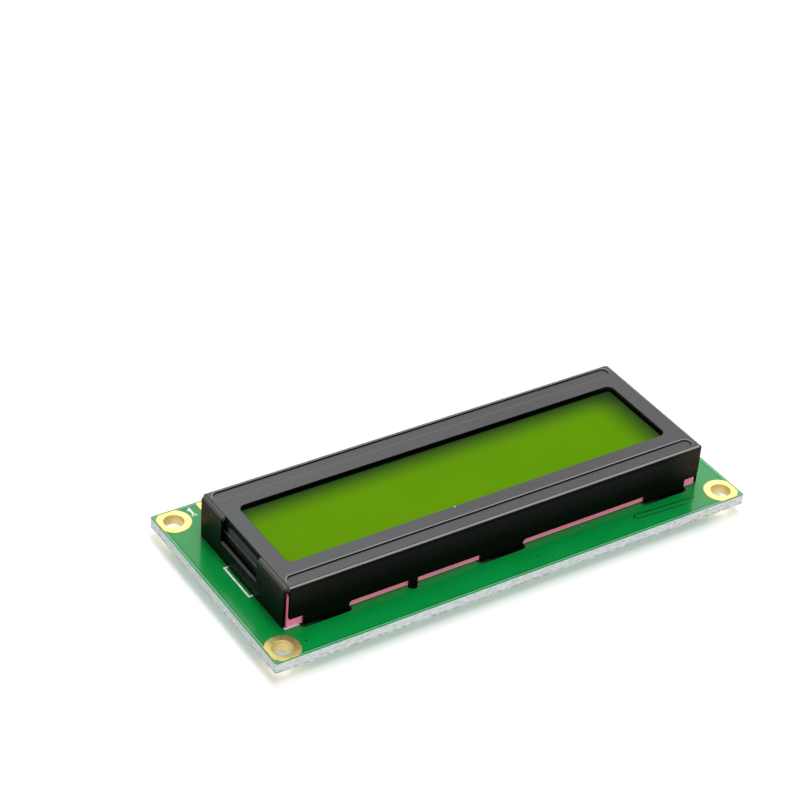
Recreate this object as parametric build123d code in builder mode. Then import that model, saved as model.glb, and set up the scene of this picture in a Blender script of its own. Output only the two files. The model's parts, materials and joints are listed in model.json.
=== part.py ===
from build123d import *
import math
import os

os.makedirs("parts", exist_ok=True)

# A character display module lies face up. X runs along its length, +Y points to the
# header edge, and Z = 0 is the plane of the six lug ends that it rests on.

# Circuit board
board_length = 80.0
board_width = 36.0
board_thickness = 1.6
board_corner = 0.3
copper = 0.05
land_edge_margin = 0.2

# Small copper outlines and plated barrels are drawn with few sides, because there are many
small_sides = 16
barrel_sides = 10
mount_sides = 20

# Mounting holes
mount_inset = 2.5
mount_hole = 3.0
mount_land = 5.2

# Header row, pin 1 at the left
header_count = 16
header_pitch = 2.54
header_first_inset = 8.0
header_row_inset = 2.1
header_hole = 1.0
header_land = 1.7

# Bezel, one folded sheet
sheet = 0.5
bezel_end_margin = 4.4
bezel_depth = 24.4
bezel_height = 7.0
bezel_y = -0.5
bend_radius = 0.8
corner_relief = 0.72
window_end_rim = 3.35
window_side_rim = 5.25
window_corner = 1.0
window_edge_break = 0.1
bead_end_gap = 1.3
bead_width = 1.9
bead_inset = 1.85
bead_taper = 35.0
opening_width = 10.1
opening_shift = 0.8
opening_sill = 2.7
foot_length = 7.2
foot_end_gap = 3.0
notch_height = 1.3
notch_corner = 0.5
corner_notch_height = 1.8
tooth_width = 1.3
tooth_to_foot = 14.1
tooth_depth = 1.0
tooth_hole = 1.8

# Lugs, bent over behind the board
lug_reach = 1.65
lug_twist = 10.0
lug_sections = 3
lug_neck_below = 0.15
arm_angle = 57.0
arm_bend_radius = 1.5
arm_reach = 2.7
arm_corner = 0.35
lock_gap = 0.02
slot_length = 8.1
slot_width = 1.4
lug_land_length = 7.1
lug_land_width = 2.55

# Display cell
glass_thickness = 1.1
glass_side_gap = 0.1
glass_end_gap = 0.5
polariser_thickness = 0.2
polariser_margin = 0.6
seal_thickness = 0.1
seal_width = 1.0
end_seal_length = 8.4
end_seal_height = 1.5
end_seal_thickness = 0.35

# Contact strips
zebra_width = 2.2
zebra_end_gap = 0.2
zebra_inner_gap = 0.3

# Backlight
film_thickness = 0.2
tray_floor = 0.4
tray_wall = 0.8
guide_gap = 0.1
lamp_board_thickness = 0.6
lamp_board_height = 3.4
lamp_board_inset = 1.1
lamp_length = 3.0
lamp_height = 1.6
lamp_depth = 1.0
lamp_count = 3
lead_width = 2.0
lead_thickness = 0.25
lead_gap = 0.5
lead_row_y = -0.6

# Recess in the right-hand edge for the leads
recess_depth = 1.2
recess_corner = 0.2
recess_gap = 0.15

# Lamp pads on the right
square_pad_length = 1.9
square_pad_width = 2.3
square_pad_inset = 1.55
square_pad_spacing = 8.06
round_pad = 1.85
round_pad_inset = 4.0
round_pad_spacing = 2.63
lamp_hole = 0.9

# Glob tops, each with a die inside. The dome's rings are shares of its radius and height.
controller_inset = 27.6
controller_y = -0.3
controller_diameter = 13.0
driver_inset = 26.4
driver_y = 0.8
driver_diameter = 9.9
blob_height = 1.25
blob_rings = ((1.0, 0.0), (0.97, 0.36), (0.86, 0.66), (0.5, 0.93), (0.15, 1.0))
blob_sides = 28
die_side = 3.2
die_thickness = 0.35

# Chip resistors, six of them in a ladder between the front and the rear lug lands
ladder_inset = 9.1
ladder_front_gap = 1.775
ladder_rear_gap = 2.5
ladder_count = 6
small_chip = (2.0, 1.25, 0.5)
large_chip = (3.2, 1.6, 0.55)
chip_cap = 0.4
chip_cap_proud = 0.03
joint_length = 1.05
joint_height = 0.36
joint_toe = 0.35
joint_toe_height = 0.1
lone_chip_inset = 17.7
lone_chip_y = -4.25
large_chip_inset = 20.0
large_chip_to_header = 3.2

# Spare lands on the back, in one column between the front and the rear lug lands. The
# room that they leave is shared out before, between and after them in these proportions.
spare_inset = 10.6
spare_gaps = (1.8, 1.55, 1.12, 0.52, 1.75)
capacitor_pad = (1.55, 2.1)
capacitor_pad_spacing = 3.45
driver_lead_pad = (2.1, 0.75)
driver_lead_pitch = 1.27
driver_lead_rows = 4
driver_lead_spacing = 5.8
jumper_diameter = 1.9
jumper_split = 0.18
jumper_pitch = 2.38
bridge_height = 0.3
bridge_edge = 0.05
bridge_slope = 0.25
small_pad = (1.3, 1.3)
small_pad_spacing = 2.45
small_pad_to_chip = 2.15

# Levels, counted up from the plane that the module rests on
board_bottom = lug_reach
board_top = board_bottom + board_thickness
bezel_top = board_top + bezel_height
bezel_under = bezel_top - sheet

# Places worked out from the sizes above
board_end = board_length / 2
mount_x = board_end - mount_inset
mount_y = board_width / 2 - mount_inset
mount_points = [(-mount_x, mount_y), (-mount_x, -mount_y), (mount_x, -mount_y), (mount_x, mount_y)]
header_x = -board_end + header_first_inset
header_y = board_width / 2 - header_row_inset
header_points = [(header_x + pin * header_pitch, header_y) for pin in range(header_count)]
bezel_length = board_length - 2 * bezel_end_margin
window_length = bezel_length - 2 * window_end_rim
window_depth = bezel_depth - 2 * window_side_rim
bead_length = bezel_length - 2 * bead_end_gap
foot_spacing = bezel_length / 2 - foot_end_gap - foot_length / 2
tooth_x = foot_spacing - tooth_to_foot
wall_middle = (bezel_depth - sheet) / 2
front_wall_y = bezel_y - wall_middle
rear_wall_y = bezel_y + wall_middle
foot_xs = [-foot_spacing, 0.0, foot_spacing]
slot_points = [(x, front_wall_y) for x in foot_xs] + [(x, rear_wall_y) for x in foot_xs]
tooth_points = [(-tooth_x, front_wall_y), (tooth_x, rear_wall_y)]
front_land_edge = front_wall_y + slot_width / 2 + lug_land_width
rear_land_edge = rear_wall_y - slot_width / 2 - lug_land_width
square_pad_x = board_end - square_pad_inset
round_pad_x = board_end - round_pad_inset
square_points = [(square_pad_x, lead_row_y + side * square_pad_spacing / 2) for side in (-1, 1)]
round_points = [(round_pad_x, lead_row_y + side * round_pad_spacing / 2) for side in (-1, 1)]
recess_x = board_end - recess_depth
lead_step = lead_width + lead_gap
recess_length = lead_step + lead_width + 2 * recess_corner


def slot_outline(length, width):
    """A round-ended slot, its two ends drawn with few sides."""
    with BuildSketch() as slot:
        Rectangle(length - width, width)
        with GridLocations(length - width, 0, 2, 1):
            RegularPolygon(width / 2, small_sides)
    return slot


# The copper barrels of the plated slots and holes, outside and inside. Only the mounting
# holes are true circles, because screws go through them.
slot_barrel = slot_outline(slot_length + 2 * copper, slot_width + 2 * copper)
slot_bore = slot_outline(slot_length, slot_width)
with BuildSketch() as mount_barrel:
    RegularPolygon(mount_hole / 2 + copper, mount_sides)
with BuildSketch() as mount_bore:
    Circle(mount_hole / 2)
with BuildSketch() as header_barrel:
    RegularPolygon(header_hole / 2 + copper, barrel_sides)
with BuildSketch() as header_bore:
    RegularPolygon(header_hole / 2, barrel_sides)
with BuildSketch() as lamp_barrel:
    RegularPolygon(lamp_hole / 2 + copper, barrel_sides)
with BuildSketch() as lamp_bore:
    RegularPolygon(lamp_hole / 2, barrel_sides)

# Board with every hole in it
with BuildPart() as circuit_board:
    with BuildSketch(Plane.XY.offset(board_bottom)):
        Rectangle(board_length, board_width)
        fillet(vertices(), board_corner)
        with Locations(*mount_points):
            add(mount_barrel.sketch, mode=Mode.SUBTRACT)
        with Locations(*header_points):
            add(header_barrel.sketch, mode=Mode.SUBTRACT)
        with Locations(*slot_points):
            add(slot_barrel.sketch, mode=Mode.SUBTRACT)
        with Locations(*tooth_points):
            RegularPolygon(tooth_hole / 2, small_sides, mode=Mode.SUBTRACT)
        with Locations(*square_points, *round_points):
            add(lamp_barrel.sketch, mode=Mode.SUBTRACT)
        with Locations((recess_x + recess_depth, lead_row_y)):
            RectangleRounded(2 * recess_depth, recess_length, recess_corner, mode=Mode.SUBTRACT)
    extrude(amount=board_thickness)
circuit_board.part.label = "circuit_board"
export_step(circuit_board.part, "parts/circuit_board.step")


def plated_hole(land, barrel, bore, point, faces):
    """A copper barrel through the board at point, with its land on the faces named."""
    levels = {"back": board_bottom - copper, "front": board_top}
    with BuildPart() as plated:
        for face in faces:
            with BuildSketch(Plane.XY.offset(levels[face])):
                with Locations(point):
                    add(land.sketch)
            extrude(amount=copper)
        with BuildSketch(Plane.XY.offset(board_bottom)):
            with Locations(point):
                add(barrel.sketch)
        extrude(amount=board_thickness)
        with BuildSketch(Plane.XY.offset(board_bottom - copper)):
            with Locations(point):
                add(bore.sketch)
        extrude(amount=board_thickness + 2 * copper, mode=Mode.SUBTRACT)
    return plated


# Mounting rings, each cut straight where it nears the board's edges
for number, (x, y) in enumerate(mount_points, start=1):
    with BuildSketch() as mount_outline:
        RegularPolygon(mount_land / 2, mount_sides)
        with Locations((-x, -y)):
            Rectangle(board_length - 2 * land_edge_margin, board_width - 2 * land_edge_margin, mode=Mode.INTERSECT)
    mount_ring = plated_hole(mount_outline, mount_barrel, mount_bore, (x, y), ["back", "front"])
    mount_ring.part.label = f"mount_ring_{number}"
    export_step(mount_ring.part, f"parts/mount_ring_{number}.step")

# Header pads, round towards the middle of the board and straight to its edge
header_land_reach = header_row_inset - land_edge_margin
with BuildSketch() as header_outline:
    RegularPolygon(header_land / 2, small_sides)
    with Locations((0, header_land_reach / 2)):
        Rectangle(header_land, header_land_reach)
for number, point in enumerate(header_points, start=1):
    header_pad = plated_hole(header_outline, header_barrel, header_bore, point, ["back", "front"])
    header_pad.part.label = f"header_pad_{number}"
    export_step(header_pad.part, f"parts/header_pad_{number}.step")

# Lug pads, a plated slot with a land beside it on the back, towards the middle
for number, (x, y) in enumerate(slot_points, start=1):
    inward = 1 if y < bezel_y else -1
    land_y = y + inward * (slot_width / 2 + lug_land_width / 2)
    with BuildPart() as lug_pad:
        with BuildSketch(Plane.XY.offset(board_bottom)):
            with Locations((x, y)):
                add(slot_barrel.sketch)
        extrude(amount=board_thickness)
        with BuildSketch(Plane.XY.offset(board_bottom - copper)):
            with Locations((x, land_y)):
                Rectangle(lug_land_length, lug_land_width)
        extrude(amount=copper)
        with BuildSketch(Plane.XY.offset(board_bottom - copper)):
            with Locations((x, y)):
                add(slot_bore.sketch)
        extrude(amount=board_thickness + copper, mode=Mode.SUBTRACT)
    lug_pad.part.label = f"lug_pad_{number}"
    export_step(lug_pad.part, f"parts/lug_pad_{number}.step")

# Lamp pads, two square and two round, with their lands on the back only
with BuildSketch() as square_outline:
    Rectangle(square_pad_length, square_pad_width)
with BuildSketch() as round_outline:
    RegularPolygon(round_pad / 2, small_sides)
lamp_lands = [(square_outline, point) for point in square_points]
lamp_lands += [(round_outline, point) for point in round_points]
lamp_holes = [plated_hole(land, lamp_barrel, lamp_bore, point, ["back"]) for land, point in lamp_lands]
with BuildPart() as lamp_pads:
    for lamp_hole_part in lamp_holes:
        add(lamp_hole_part.part)
lamp_pads.part.label = "lamp_pads"
export_step(lamp_pads.part, "parts/lamp_pads.step")

# The column of spare lands, placed from the front: two capacitors, an eight-lead driver
# and a row of three jumpers
driver_lead_height = (driver_lead_rows - 1) * driver_lead_pitch + driver_lead_pad[1]
spare_heights = (capacitor_pad[1], capacitor_pad[1], driver_lead_height, jumper_diameter)
spare_room = rear_land_edge - front_land_edge - sum(spare_heights)
spare_x = board_end - spare_inset
spare_ys = []
column_top = front_land_edge
for gap, height in zip(spare_gaps, spare_heights):
    column_top += gap * spare_room / sum(spare_gaps)
    spare_ys.append(column_top + height / 2)
    column_top += height

# Empty lands for capacitors and for an eight-lead driver
lone_chip_x = -board_end + lone_chip_inset
driver_lead_outline = slot_outline(*driver_lead_pad)
with BuildPart() as spare_pads:
    with BuildSketch(Plane.XY.offset(board_bottom - copper)):
        for y in spare_ys[:2]:
            with Locations((spare_x, y)):
                with GridLocations(capacitor_pad_spacing, 0, 2, 1):
                    Rectangle(*capacitor_pad)
        with Locations((lone_chip_x, lone_chip_y - small_pad_to_chip)):
            with GridLocations(small_pad_spacing, 0, 2, 1):
                Rectangle(*small_pad)
        with Locations((spare_x, spare_ys[2])):
            with GridLocations(driver_lead_spacing, driver_lead_pitch, 2, driver_lead_rows):
                add(driver_lead_outline.sketch)
    extrude(amount=copper)
spare_pads.part.label = "spare_pads"
export_step(spare_pads.part, "parts/spare_pads.step")

# Three round jumper lands, each split down its middle
jumper_points = [(spare_x + step * jumper_pitch, spare_ys[3]) for step in (-1, 0, 1)]
with BuildPart() as jumper_pads:
    with BuildSketch(Plane.XY.offset(board_bottom - copper)):
        with Locations(*jumper_points):
            RegularPolygon(jumper_diameter / 2, small_sides)
            Rectangle(jumper_split, jumper_diameter, mode=Mode.SUBTRACT)
    extrude(amount=copper)
jumper_pads.part.label = "jumper_pads"
export_step(jumper_pads.part, "parts/jumper_pads.step")

# One lug as it leaves the rear wall: X along the wall, Z = 0 at the board's underside.
# The half on the left goes straight through the slot and twists a little, and the arm on
# the right swings inwards over the gold land.
lug_half = foot_length / 2
lug_steps = [step / (lug_sections - 1) for step in range(lug_sections)]
arm_start = math.radians(-lug_twist)
with BuildPart() as lug:
    for part_way in lug_steps:
        turn = -lug_twist * part_way
        depth = lug_neck_below + part_way * (lug_reach - lug_neck_below)
        with BuildSketch(Plane.XY.offset(-depth).rotated((0, 0, turn))):
            with Locations((-lug_half / 2, 0)):
                Rectangle(lug_half, sheet)
    loft()
    with Locations((-lug_half / 2, 0, -lug_neck_below)):
        Box(
            lug_half,
            sheet,
            board_thickness + notch_height + lug_neck_below,
            align=(Align.CENTER, Align.CENTER, Align.MIN),
        )
    with BuildSketch(Plane.XY.offset(-lug_reach)):
        with BuildLine():
            arm_root = Line((-sheet * math.cos(arm_start), -sheet * math.sin(arm_start)), (0, 0))
            arm_bend = JernArc(
                start=arm_root @ 1,
                tangent=arm_root % 1,
                radius=arm_bend_radius,
                arc_size=lug_twist - arm_angle,
            )
            Line(arm_bend @ 1, (arm_bend @ 1) + (arm_bend % 1) * arm_reach)
        trace(line_width=sheet)
    extrude(amount=lug_reach - copper - lock_gap)
    arm_end = faces().sort_by(Axis.Y)[0]
    fillet(arm_end.edges().filter_by(Plane.XY), arm_corner)

# The folded sheet: a rounded box, hollowed, then pierced, pressed and notched
with BuildPart() as cavity:
    with Locations((0, bezel_y, board_top)):
        Box(
            bezel_length - 2 * sheet,
            bezel_depth - 2 * sheet,
            bezel_height - sheet,
            align=(Align.CENTER, Align.CENTER, Align.MIN),
        )
    fillet(edges().group_by(Axis.Z)[-1], bend_radius - sheet)

# One notch between two feet, its upper corners rounded
foot_gap = foot_spacing - foot_length
with BuildPart() as notch:
    Box(foot_gap, 2 * sheet, notch_height, align=(Align.CENTER, Align.CENTER, Align.MIN))
    fillet(edges().filter_by(Axis.Y).group_by(Axis.Z)[-1], notch_corner)

bead_y = bezel_depth / 2 - bead_inset
bead_depth = polariser_thickness
with BuildPart() as bezel:
    with Locations((0, bezel_y, board_top)):
        Box(bezel_length, bezel_depth, bezel_height, align=(Align.CENTER, Align.CENTER, Align.MIN))
    fillet(edges().group_by(Axis.Z)[-1], bend_radius)
    add(cavity.part, mode=Mode.SUBTRACT)
    # beads pressed down along both long edges of the face
    for side in (-1, 1):
        with BuildSketch(Plane(origin=(0, bezel_y + side * bead_y, bezel_under), z_dir=(0, 0, -1))):
            SlotOverall(bead_length, bead_width)
        extrude(amount=bead_depth, taper=bead_taper)
        with BuildSketch(Plane(origin=(0, bezel_y + side * bead_y, bezel_top), z_dir=(0, 0, -1))):
            SlotOverall(bead_length, bead_width)
        extrude(amount=bead_depth, taper=bead_taper, mode=Mode.SUBTRACT)
    # window
    with BuildSketch(Plane.XY.offset(bezel_under)):
        with Locations((0, bezel_y)):
            RectangleRounded(window_length, window_depth, window_corner)
    extrude(amount=sheet, mode=Mode.SUBTRACT)
    window_rim = edges().group_by(Axis.Z)[-1].filter_by_position(
        Axis.X, -window_length / 2, window_length / 2
    ).filter_by_position(Axis.Y, bezel_y - window_depth / 2, bezel_y + window_depth / 2)
    chamfer(window_rim, window_edge_break)
    # open seams at the four folded corners
    with Locations((0, bezel_y, board_top)):
        with GridLocations(bezel_length, bezel_depth, 2, 2):
            Box(
                2 * corner_relief,
                2 * corner_relief,
                bezel_height,
                align=(Align.CENTER, Align.CENTER, Align.MIN),
                mode=Mode.SUBTRACT,
            )
    # opening in the left end, from its sill up through the bend
    with Locations((-bezel_length / 2, bezel_y + opening_shift, board_top + opening_sill)):
        Box(
            2 * bend_radius,
            opening_width,
            bezel_height - opening_sill,
            align=(Align.CENTER, Align.CENTER, Align.MIN),
            mode=Mode.SUBTRACT,
        )
    # way out for the backlight's leads under the right end
    with Locations((bezel_length / 2, lead_row_y, board_top)):
        Box(
            4 * sheet,
            recess_length,
            2 * sheet,
            align=(Align.CENTER, Align.CENTER, Align.MIN),
            mode=Mode.SUBTRACT,
        )
    # long walls: notches between the feet, one locating tooth, three lugs. The rear wall
    # is the front wall turned half round.
    corner_gap = bezel_length / 2 - foot_spacing - foot_length / 2
    for turn in (0, 180):
        with Locations(Location((0, bezel_y, board_top), (0, 0, turn))):
            for side in (-1, 1):
                with Locations((side * foot_spacing / 2, -wall_middle, 0)):
                    add(notch.part, mode=Mode.SUBTRACT)
                with Locations((side * (bezel_length / 2 - corner_gap / 2), -wall_middle, 0)):
                    Box(
                        corner_gap,
                        2 * sheet,
                        corner_notch_height,
                        align=(Align.CENTER, Align.CENTER, Align.MIN),
                        mode=Mode.SUBTRACT,
                    )
            with Locations((-tooth_x, -wall_middle, -tooth_depth)):
                Box(
                    tooth_width,
                    sheet,
                    tooth_depth + notch_height,
                    align=(Align.CENTER, Align.CENTER, Align.MIN),
                )
        with Locations(Location((0, bezel_y, board_bottom), (0, 0, turn + 180))):
            with Locations(*[(x, wall_middle, 0) for x in foot_xs]):
                add(lug.part)
bezel.part.label = "bezel"
export_step(bezel.part, "parts/bezel.step")

# Display cell, held down on the contact strips by the beads
front_glass_length = bezel_length - 2 * sheet - 2 * glass_end_gap
front_glass_depth = bezel_depth - 2 * sheet - 2 * glass_side_gap
rear_stack_depth = front_glass_depth - 2 * zebra_width - 2 * zebra_inner_gap
front_polariser_bottom = bezel_under - polariser_thickness
front_glass_bottom = front_polariser_bottom - glass_thickness
seal_bottom = front_glass_bottom - seal_thickness
rear_glass_bottom = seal_bottom - glass_thickness
rear_polariser_bottom = rear_glass_bottom - polariser_thickness
film_bottom = rear_polariser_bottom - film_thickness
polariser_length = front_glass_length - 2 * polariser_margin
bead_inner_edge = bead_y - bead_width / 2
front_polariser_depth = 2 * (bead_inner_edge - polariser_margin)
rear_polariser_depth = rear_stack_depth - 2 * polariser_margin


def plate(length, depth, thickness, bottom):
    """A flat rectangular layer of the stack, centred on the bezel."""
    with BuildPart() as layer:
        with BuildSketch(Plane.XY.offset(bottom)):
            with Locations((0, bezel_y)):
                Rectangle(length, depth)
        extrude(amount=thickness)
    return layer


front_polariser = plate(polariser_length, front_polariser_depth, polariser_thickness, front_polariser_bottom)
front_polariser.part.label = "front_polariser"
export_step(front_polariser.part, "parts/front_polariser.step")

front_glass = plate(front_glass_length, front_glass_depth, glass_thickness, front_glass_bottom)
front_glass.part.label = "front_glass"
export_step(front_glass.part, "parts/front_glass.step")

with BuildPart() as perimeter_seal:
    with BuildSketch(Plane.XY.offset(seal_bottom)):
        with Locations((0, bezel_y)):
            Rectangle(front_glass_length, rear_stack_depth)
            Rectangle(front_glass_length - 2 * seal_width, rear_stack_depth - 2 * seal_width, mode=Mode.SUBTRACT)
    extrude(amount=seal_thickness)
perimeter_seal.part.label = "perimeter_seal"
export_step(perimeter_seal.part, "parts/perimeter_seal.step")

rear_glass = plate(front_glass_length, rear_stack_depth, glass_thickness, rear_glass_bottom)
rear_glass.part.label = "rear_glass"
export_step(rear_glass.part, "parts/rear_glass.step")

rear_polariser = plate(polariser_length, rear_polariser_depth, polariser_thickness, rear_polariser_bottom)
rear_polariser.part.label = "rear_polariser"
export_step(rear_polariser.part, "parts/rear_polariser.step")

# Plug of the filling port, a rounded bead of resin over the joint of the two glasses
seal_middle = seal_bottom + seal_thickness / 2
with BuildPart() as end_seal:
    with BuildSketch(Plane.YZ.offset(-front_glass_length / 2)):
        with Locations((bezel_y + opening_shift, seal_middle)):
            SlotOverall(end_seal_length, end_seal_height)
    extrude(amount=-end_seal_thickness)
    chamfer(edges().group_by(Axis.X)[0], end_seal_thickness / 2)
end_seal.part.label = "end_seal"
export_step(end_seal.part, "parts/end_seal.step")

# Contact strips between the board and the front glass's two ledges
zebra_length = bezel_length - 2 * sheet - 2 * zebra_end_gap
zebra_y = (front_glass_depth - zebra_width) / 2
zebra_height = front_glass_bottom - board_top
for name, side in (("zebra_strip_front", -1), ("zebra_strip_rear", 1)):
    with BuildPart() as zebra_strip:
        with Locations((0, bezel_y + side * zebra_y, board_top)):
            Box(
                zebra_length,
                zebra_width,
                zebra_height,
                align=(Align.CENTER, Align.CENTER, Align.MIN),
            )
    zebra_strip.part.label = name
    export_step(zebra_strip.part, f"parts/{name}.step")

# Backlight: a white tray open at its right end, the light guide in it and a film over both
lamp_board_right = front_glass_length / 2 - lamp_board_inset + lamp_board_thickness
lamp_board_left = lamp_board_right - lamp_board_thickness
lamp_left = lamp_board_left - lamp_depth
lamp_pitch = (rear_stack_depth - 2 * tray_wall) / lamp_count
tray_left = -front_glass_length / 2
tray_length = lamp_board_left - tray_left
tray_x = tray_left + tray_length / 2
guide_left = tray_left + tray_wall + guide_gap
guide_length = lamp_left - guide_gap - guide_left
guide_depth = rear_stack_depth - 2 * tray_wall - 2 * guide_gap
guide_bottom = board_top + tray_floor
guide_thickness = film_bottom - guide_bottom

with BuildPart() as reflector_tray:
    with BuildSketch(Plane.XY.offset(board_top)):
        with Locations((tray_x, bezel_y)):
            Rectangle(tray_length, rear_stack_depth)
    extrude(amount=film_bottom - board_top)
    with BuildSketch(Plane.XY.offset(guide_bottom)):
        with Locations((tray_x + tray_wall, bezel_y)):
            Rectangle(tray_length, rear_stack_depth - 2 * tray_wall)
    extrude(amount=guide_thickness, mode=Mode.SUBTRACT)
reflector_tray.part.label = "reflector_tray"
export_step(reflector_tray.part, "parts/reflector_tray.step")

with BuildPart() as light_guide:
    with Locations((guide_left, bezel_y, guide_bottom)):
        Box(guide_length, guide_depth, guide_thickness, align=(Align.MIN, Align.CENTER, Align.MIN))
light_guide.part.label = "light_guide"
export_step(light_guide.part, "parts/light_guide.step")

with BuildPart() as diffuser_film:
    with Locations((tray_left, bezel_y, film_bottom)):
        Box(tray_length, rear_stack_depth, film_thickness, align=(Align.MIN, Align.CENTER, Align.MIN))
diffuser_film.part.label = "diffuser_film"
export_step(diffuser_film.part, "parts/diffuser_film.step")

with BuildPart() as lamp_board:
    with Locations((lamp_board_left, bezel_y, board_top)):
        Box(
            lamp_board_thickness,
            guide_depth,
            lamp_board_height,
            align=(Align.MIN, Align.CENTER, Align.MIN),
        )
lamp_board.part.label = "lamp_board"
export_step(lamp_board.part, "parts/lamp_board.step")

with BuildPart() as lamps:
    with Locations((lamp_left, bezel_y, guide_bottom + guide_thickness / 2)):
        with GridLocations(0, lamp_pitch, 1, lamp_count):
            Box(lamp_depth, lamp_length, lamp_height, align=(Align.MIN, Align.CENTER, Align.CENTER))
lamps.part.label = "lamps"
export_step(lamps.part, "parts/lamps.step")

# Flat leads from the lamp board, out under the bezel and down through the edge recess
lead_level = board_top + lead_thickness / 2
lead_leg_x = recess_x + recess_gap + lead_thickness / 2
for number, side in enumerate((-1, 1), start=1):
    lead_y = lead_row_y + side * lead_step / 2
    with BuildPart() as lamp_lead:
        with BuildSketch(Plane.XZ.offset(-lead_y)):
            with BuildLine():
                FilletPolyline(
                    (lamp_board_right, lead_level),
                    (lead_leg_x, lead_level),
                    (lead_leg_x, board_bottom),
                    radius=recess_gap + lead_thickness / 2,
                )
            trace(line_width=lead_thickness)
        extrude(amount=lead_width / 2, both=True)
    lamp_lead.part.label = f"lamp_lead_{number}"
    export_step(lamp_lead.part, f"parts/lamp_lead_{number}.step")

def dome(x, y, diameter):
    """A glob top under the board, built of flat facets between its rings, each ring seen from below."""
    rings = []
    for across, up in blob_rings:
        level = board_bottom - up * blob_height
        radius = across * diameter / 2
        turns = [2 * math.pi * side / blob_sides for side in range(blob_sides)]
        rings.append([(x + radius * math.cos(turn), y + radius * math.sin(turn), level) for turn in turns])
    facets = [rings[0], rings[-1]]
    for low, high in zip(rings, rings[1:]):
        for side in range(blob_sides):
            facets.append([low[side - 1], low[side], high[side], high[side - 1]])
    return Solid(Shell([Face(Wire.make_polygon(facet)) for facet in facets]))


# Dies and the glob tops that bury them
blobs = {
    "controller": (-board_end + controller_inset, controller_y, controller_diameter),
    "driver": (board_end - driver_inset, driver_y, driver_diameter),
}
for name, (x, y, diameter) in blobs.items():
    with BuildPart() as die:
        with Locations((x, y, board_bottom)):
            Box(die_side, die_side, die_thickness, align=(Align.CENTER, Align.CENTER, Align.MAX))
    die.part.label = f"{name}_die"
    export_step(die.part, f"parts/{name}_die.step")
    with BuildPart() as blob:
        add(dome(x, y, diameter))
        add(die.part, mode=Mode.SUBTRACT)
    blob.part.label = f"{name}_blob"
    export_step(blob.part, f"parts/{name}_blob.step")

# Chip resistors on their lands, six in a ladder, one beside it and a larger one
ladder_x = -board_end + ladder_inset
ladder_first_y = front_land_edge + ladder_front_gap + small_chip[1] / 2
ladder_last_y = rear_land_edge - ladder_rear_gap - small_chip[1] / 2
ladder_pitch = (ladder_last_y - ladder_first_y) / (ladder_count - 1)
chips = [(ladder_x, ladder_first_y + row * ladder_pitch, small_chip) for row in range(ladder_count)]
chips += [
    (lone_chip_x, lone_chip_y, small_chip),
    (board_end - large_chip_inset, header_y - large_chip_to_header, large_chip),
]
for number, (x, y, (length, width, height)) in enumerate(chips, start=1):
    with BuildPart() as resistor:
        with Locations((x, y, board_bottom - copper - chip_cap_proud)):
            Box(
                length - chip_cap,
                width - 2 * chip_cap_proud,
                height - 2 * chip_cap_proud,
                align=(Align.CENTER, Align.CENTER, Align.MAX),
            )
        with Locations((x, y, board_bottom - copper)):
            with GridLocations(length - chip_cap, 0, 2, 1):
                Box(chip_cap, width, height, align=(Align.CENTER, Align.CENTER, Align.MAX))
    resistor.part.label = f"resistor_{number}"
    export_step(resistor.part, f"parts/resistor_{number}.step")


def solder_joint(length, width):
    """Land and solder fillet at the +X end of a chip whose centre is the origin."""
    with BuildPart() as joint:
        with BuildSketch(Plane(origin=(0, 0, 0), x_dir=(1, 0, 0), z_dir=(0, 1, 0))):
            with BuildLine():
                Polyline(
                    (length / 2 - chip_cap, 0),
                    (length / 2 + joint_length, 0),
                    (length / 2 + joint_length, copper),
                    (length / 2 + joint_toe, copper + joint_toe_height),
                    (length / 2, copper + joint_height),
                    (length / 2, copper),
                    (length / 2 - chip_cap, copper),
                    close=True,
                )
            make_face()
        extrude(amount=width / 2, both=True)
    return joint.part


# Solder at every chip end, over the bridged jumper and round the leads in the recess
solder_width = recess_depth - recess_gap - lead_thickness - land_edge_margin
with BuildPart() as solder_joints:
    for x, y, (length, width, height) in chips:
        joint = solder_joint(length, width)
        for turn in (0, 180):
            with Locations(Location((x, y, board_bottom), (0, 0, turn))):
                add(joint)
    with Locations((*jumper_points[-1], board_bottom - copper - bridge_height)):
        Cone(
            jumper_diameter / 2 - bridge_edge - bridge_slope,
            jumper_diameter / 2 - bridge_edge,
            bridge_height,
            align=(Align.CENTER, Align.CENTER, Align.MIN),
        )
    with Locations((recess_x + recess_gap + lead_thickness, lead_row_y, board_bottom)):
        with GridLocations(0, lead_step, 1, 2):
            Box(
                solder_width,
                lead_width,
                board_thickness / 2,
                align=(Align.MIN, Align.CENTER, Align.MIN),
            )
    outer_rim = edges().filter_by(Axis.Y).group_by(Axis.X)[-1]
    fillet(outer_rim, solder_width / 4)
solder_joints.part.label = "solder_joints"
export_step(solder_joints.part, "parts/solder_joints.step")
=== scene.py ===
"""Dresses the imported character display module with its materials, board print, tracks and light.

The frame's nodes keep their meshes and take the finish of their slot. Plating, glob tops, chips and
solder are replaced by finer meshes; print, copper and the studio are added. Sizes are held in
millimetres and become metres where a mesh is made.
"""

from __future__ import annotations

import json
import logging
import math
import random
from collections.abc import Iterable, Sequence
from dataclasses import dataclass, field
from enum import Enum, IntEnum

import bmesh
import bpy
from mathutils import Matrix, Vector

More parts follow.
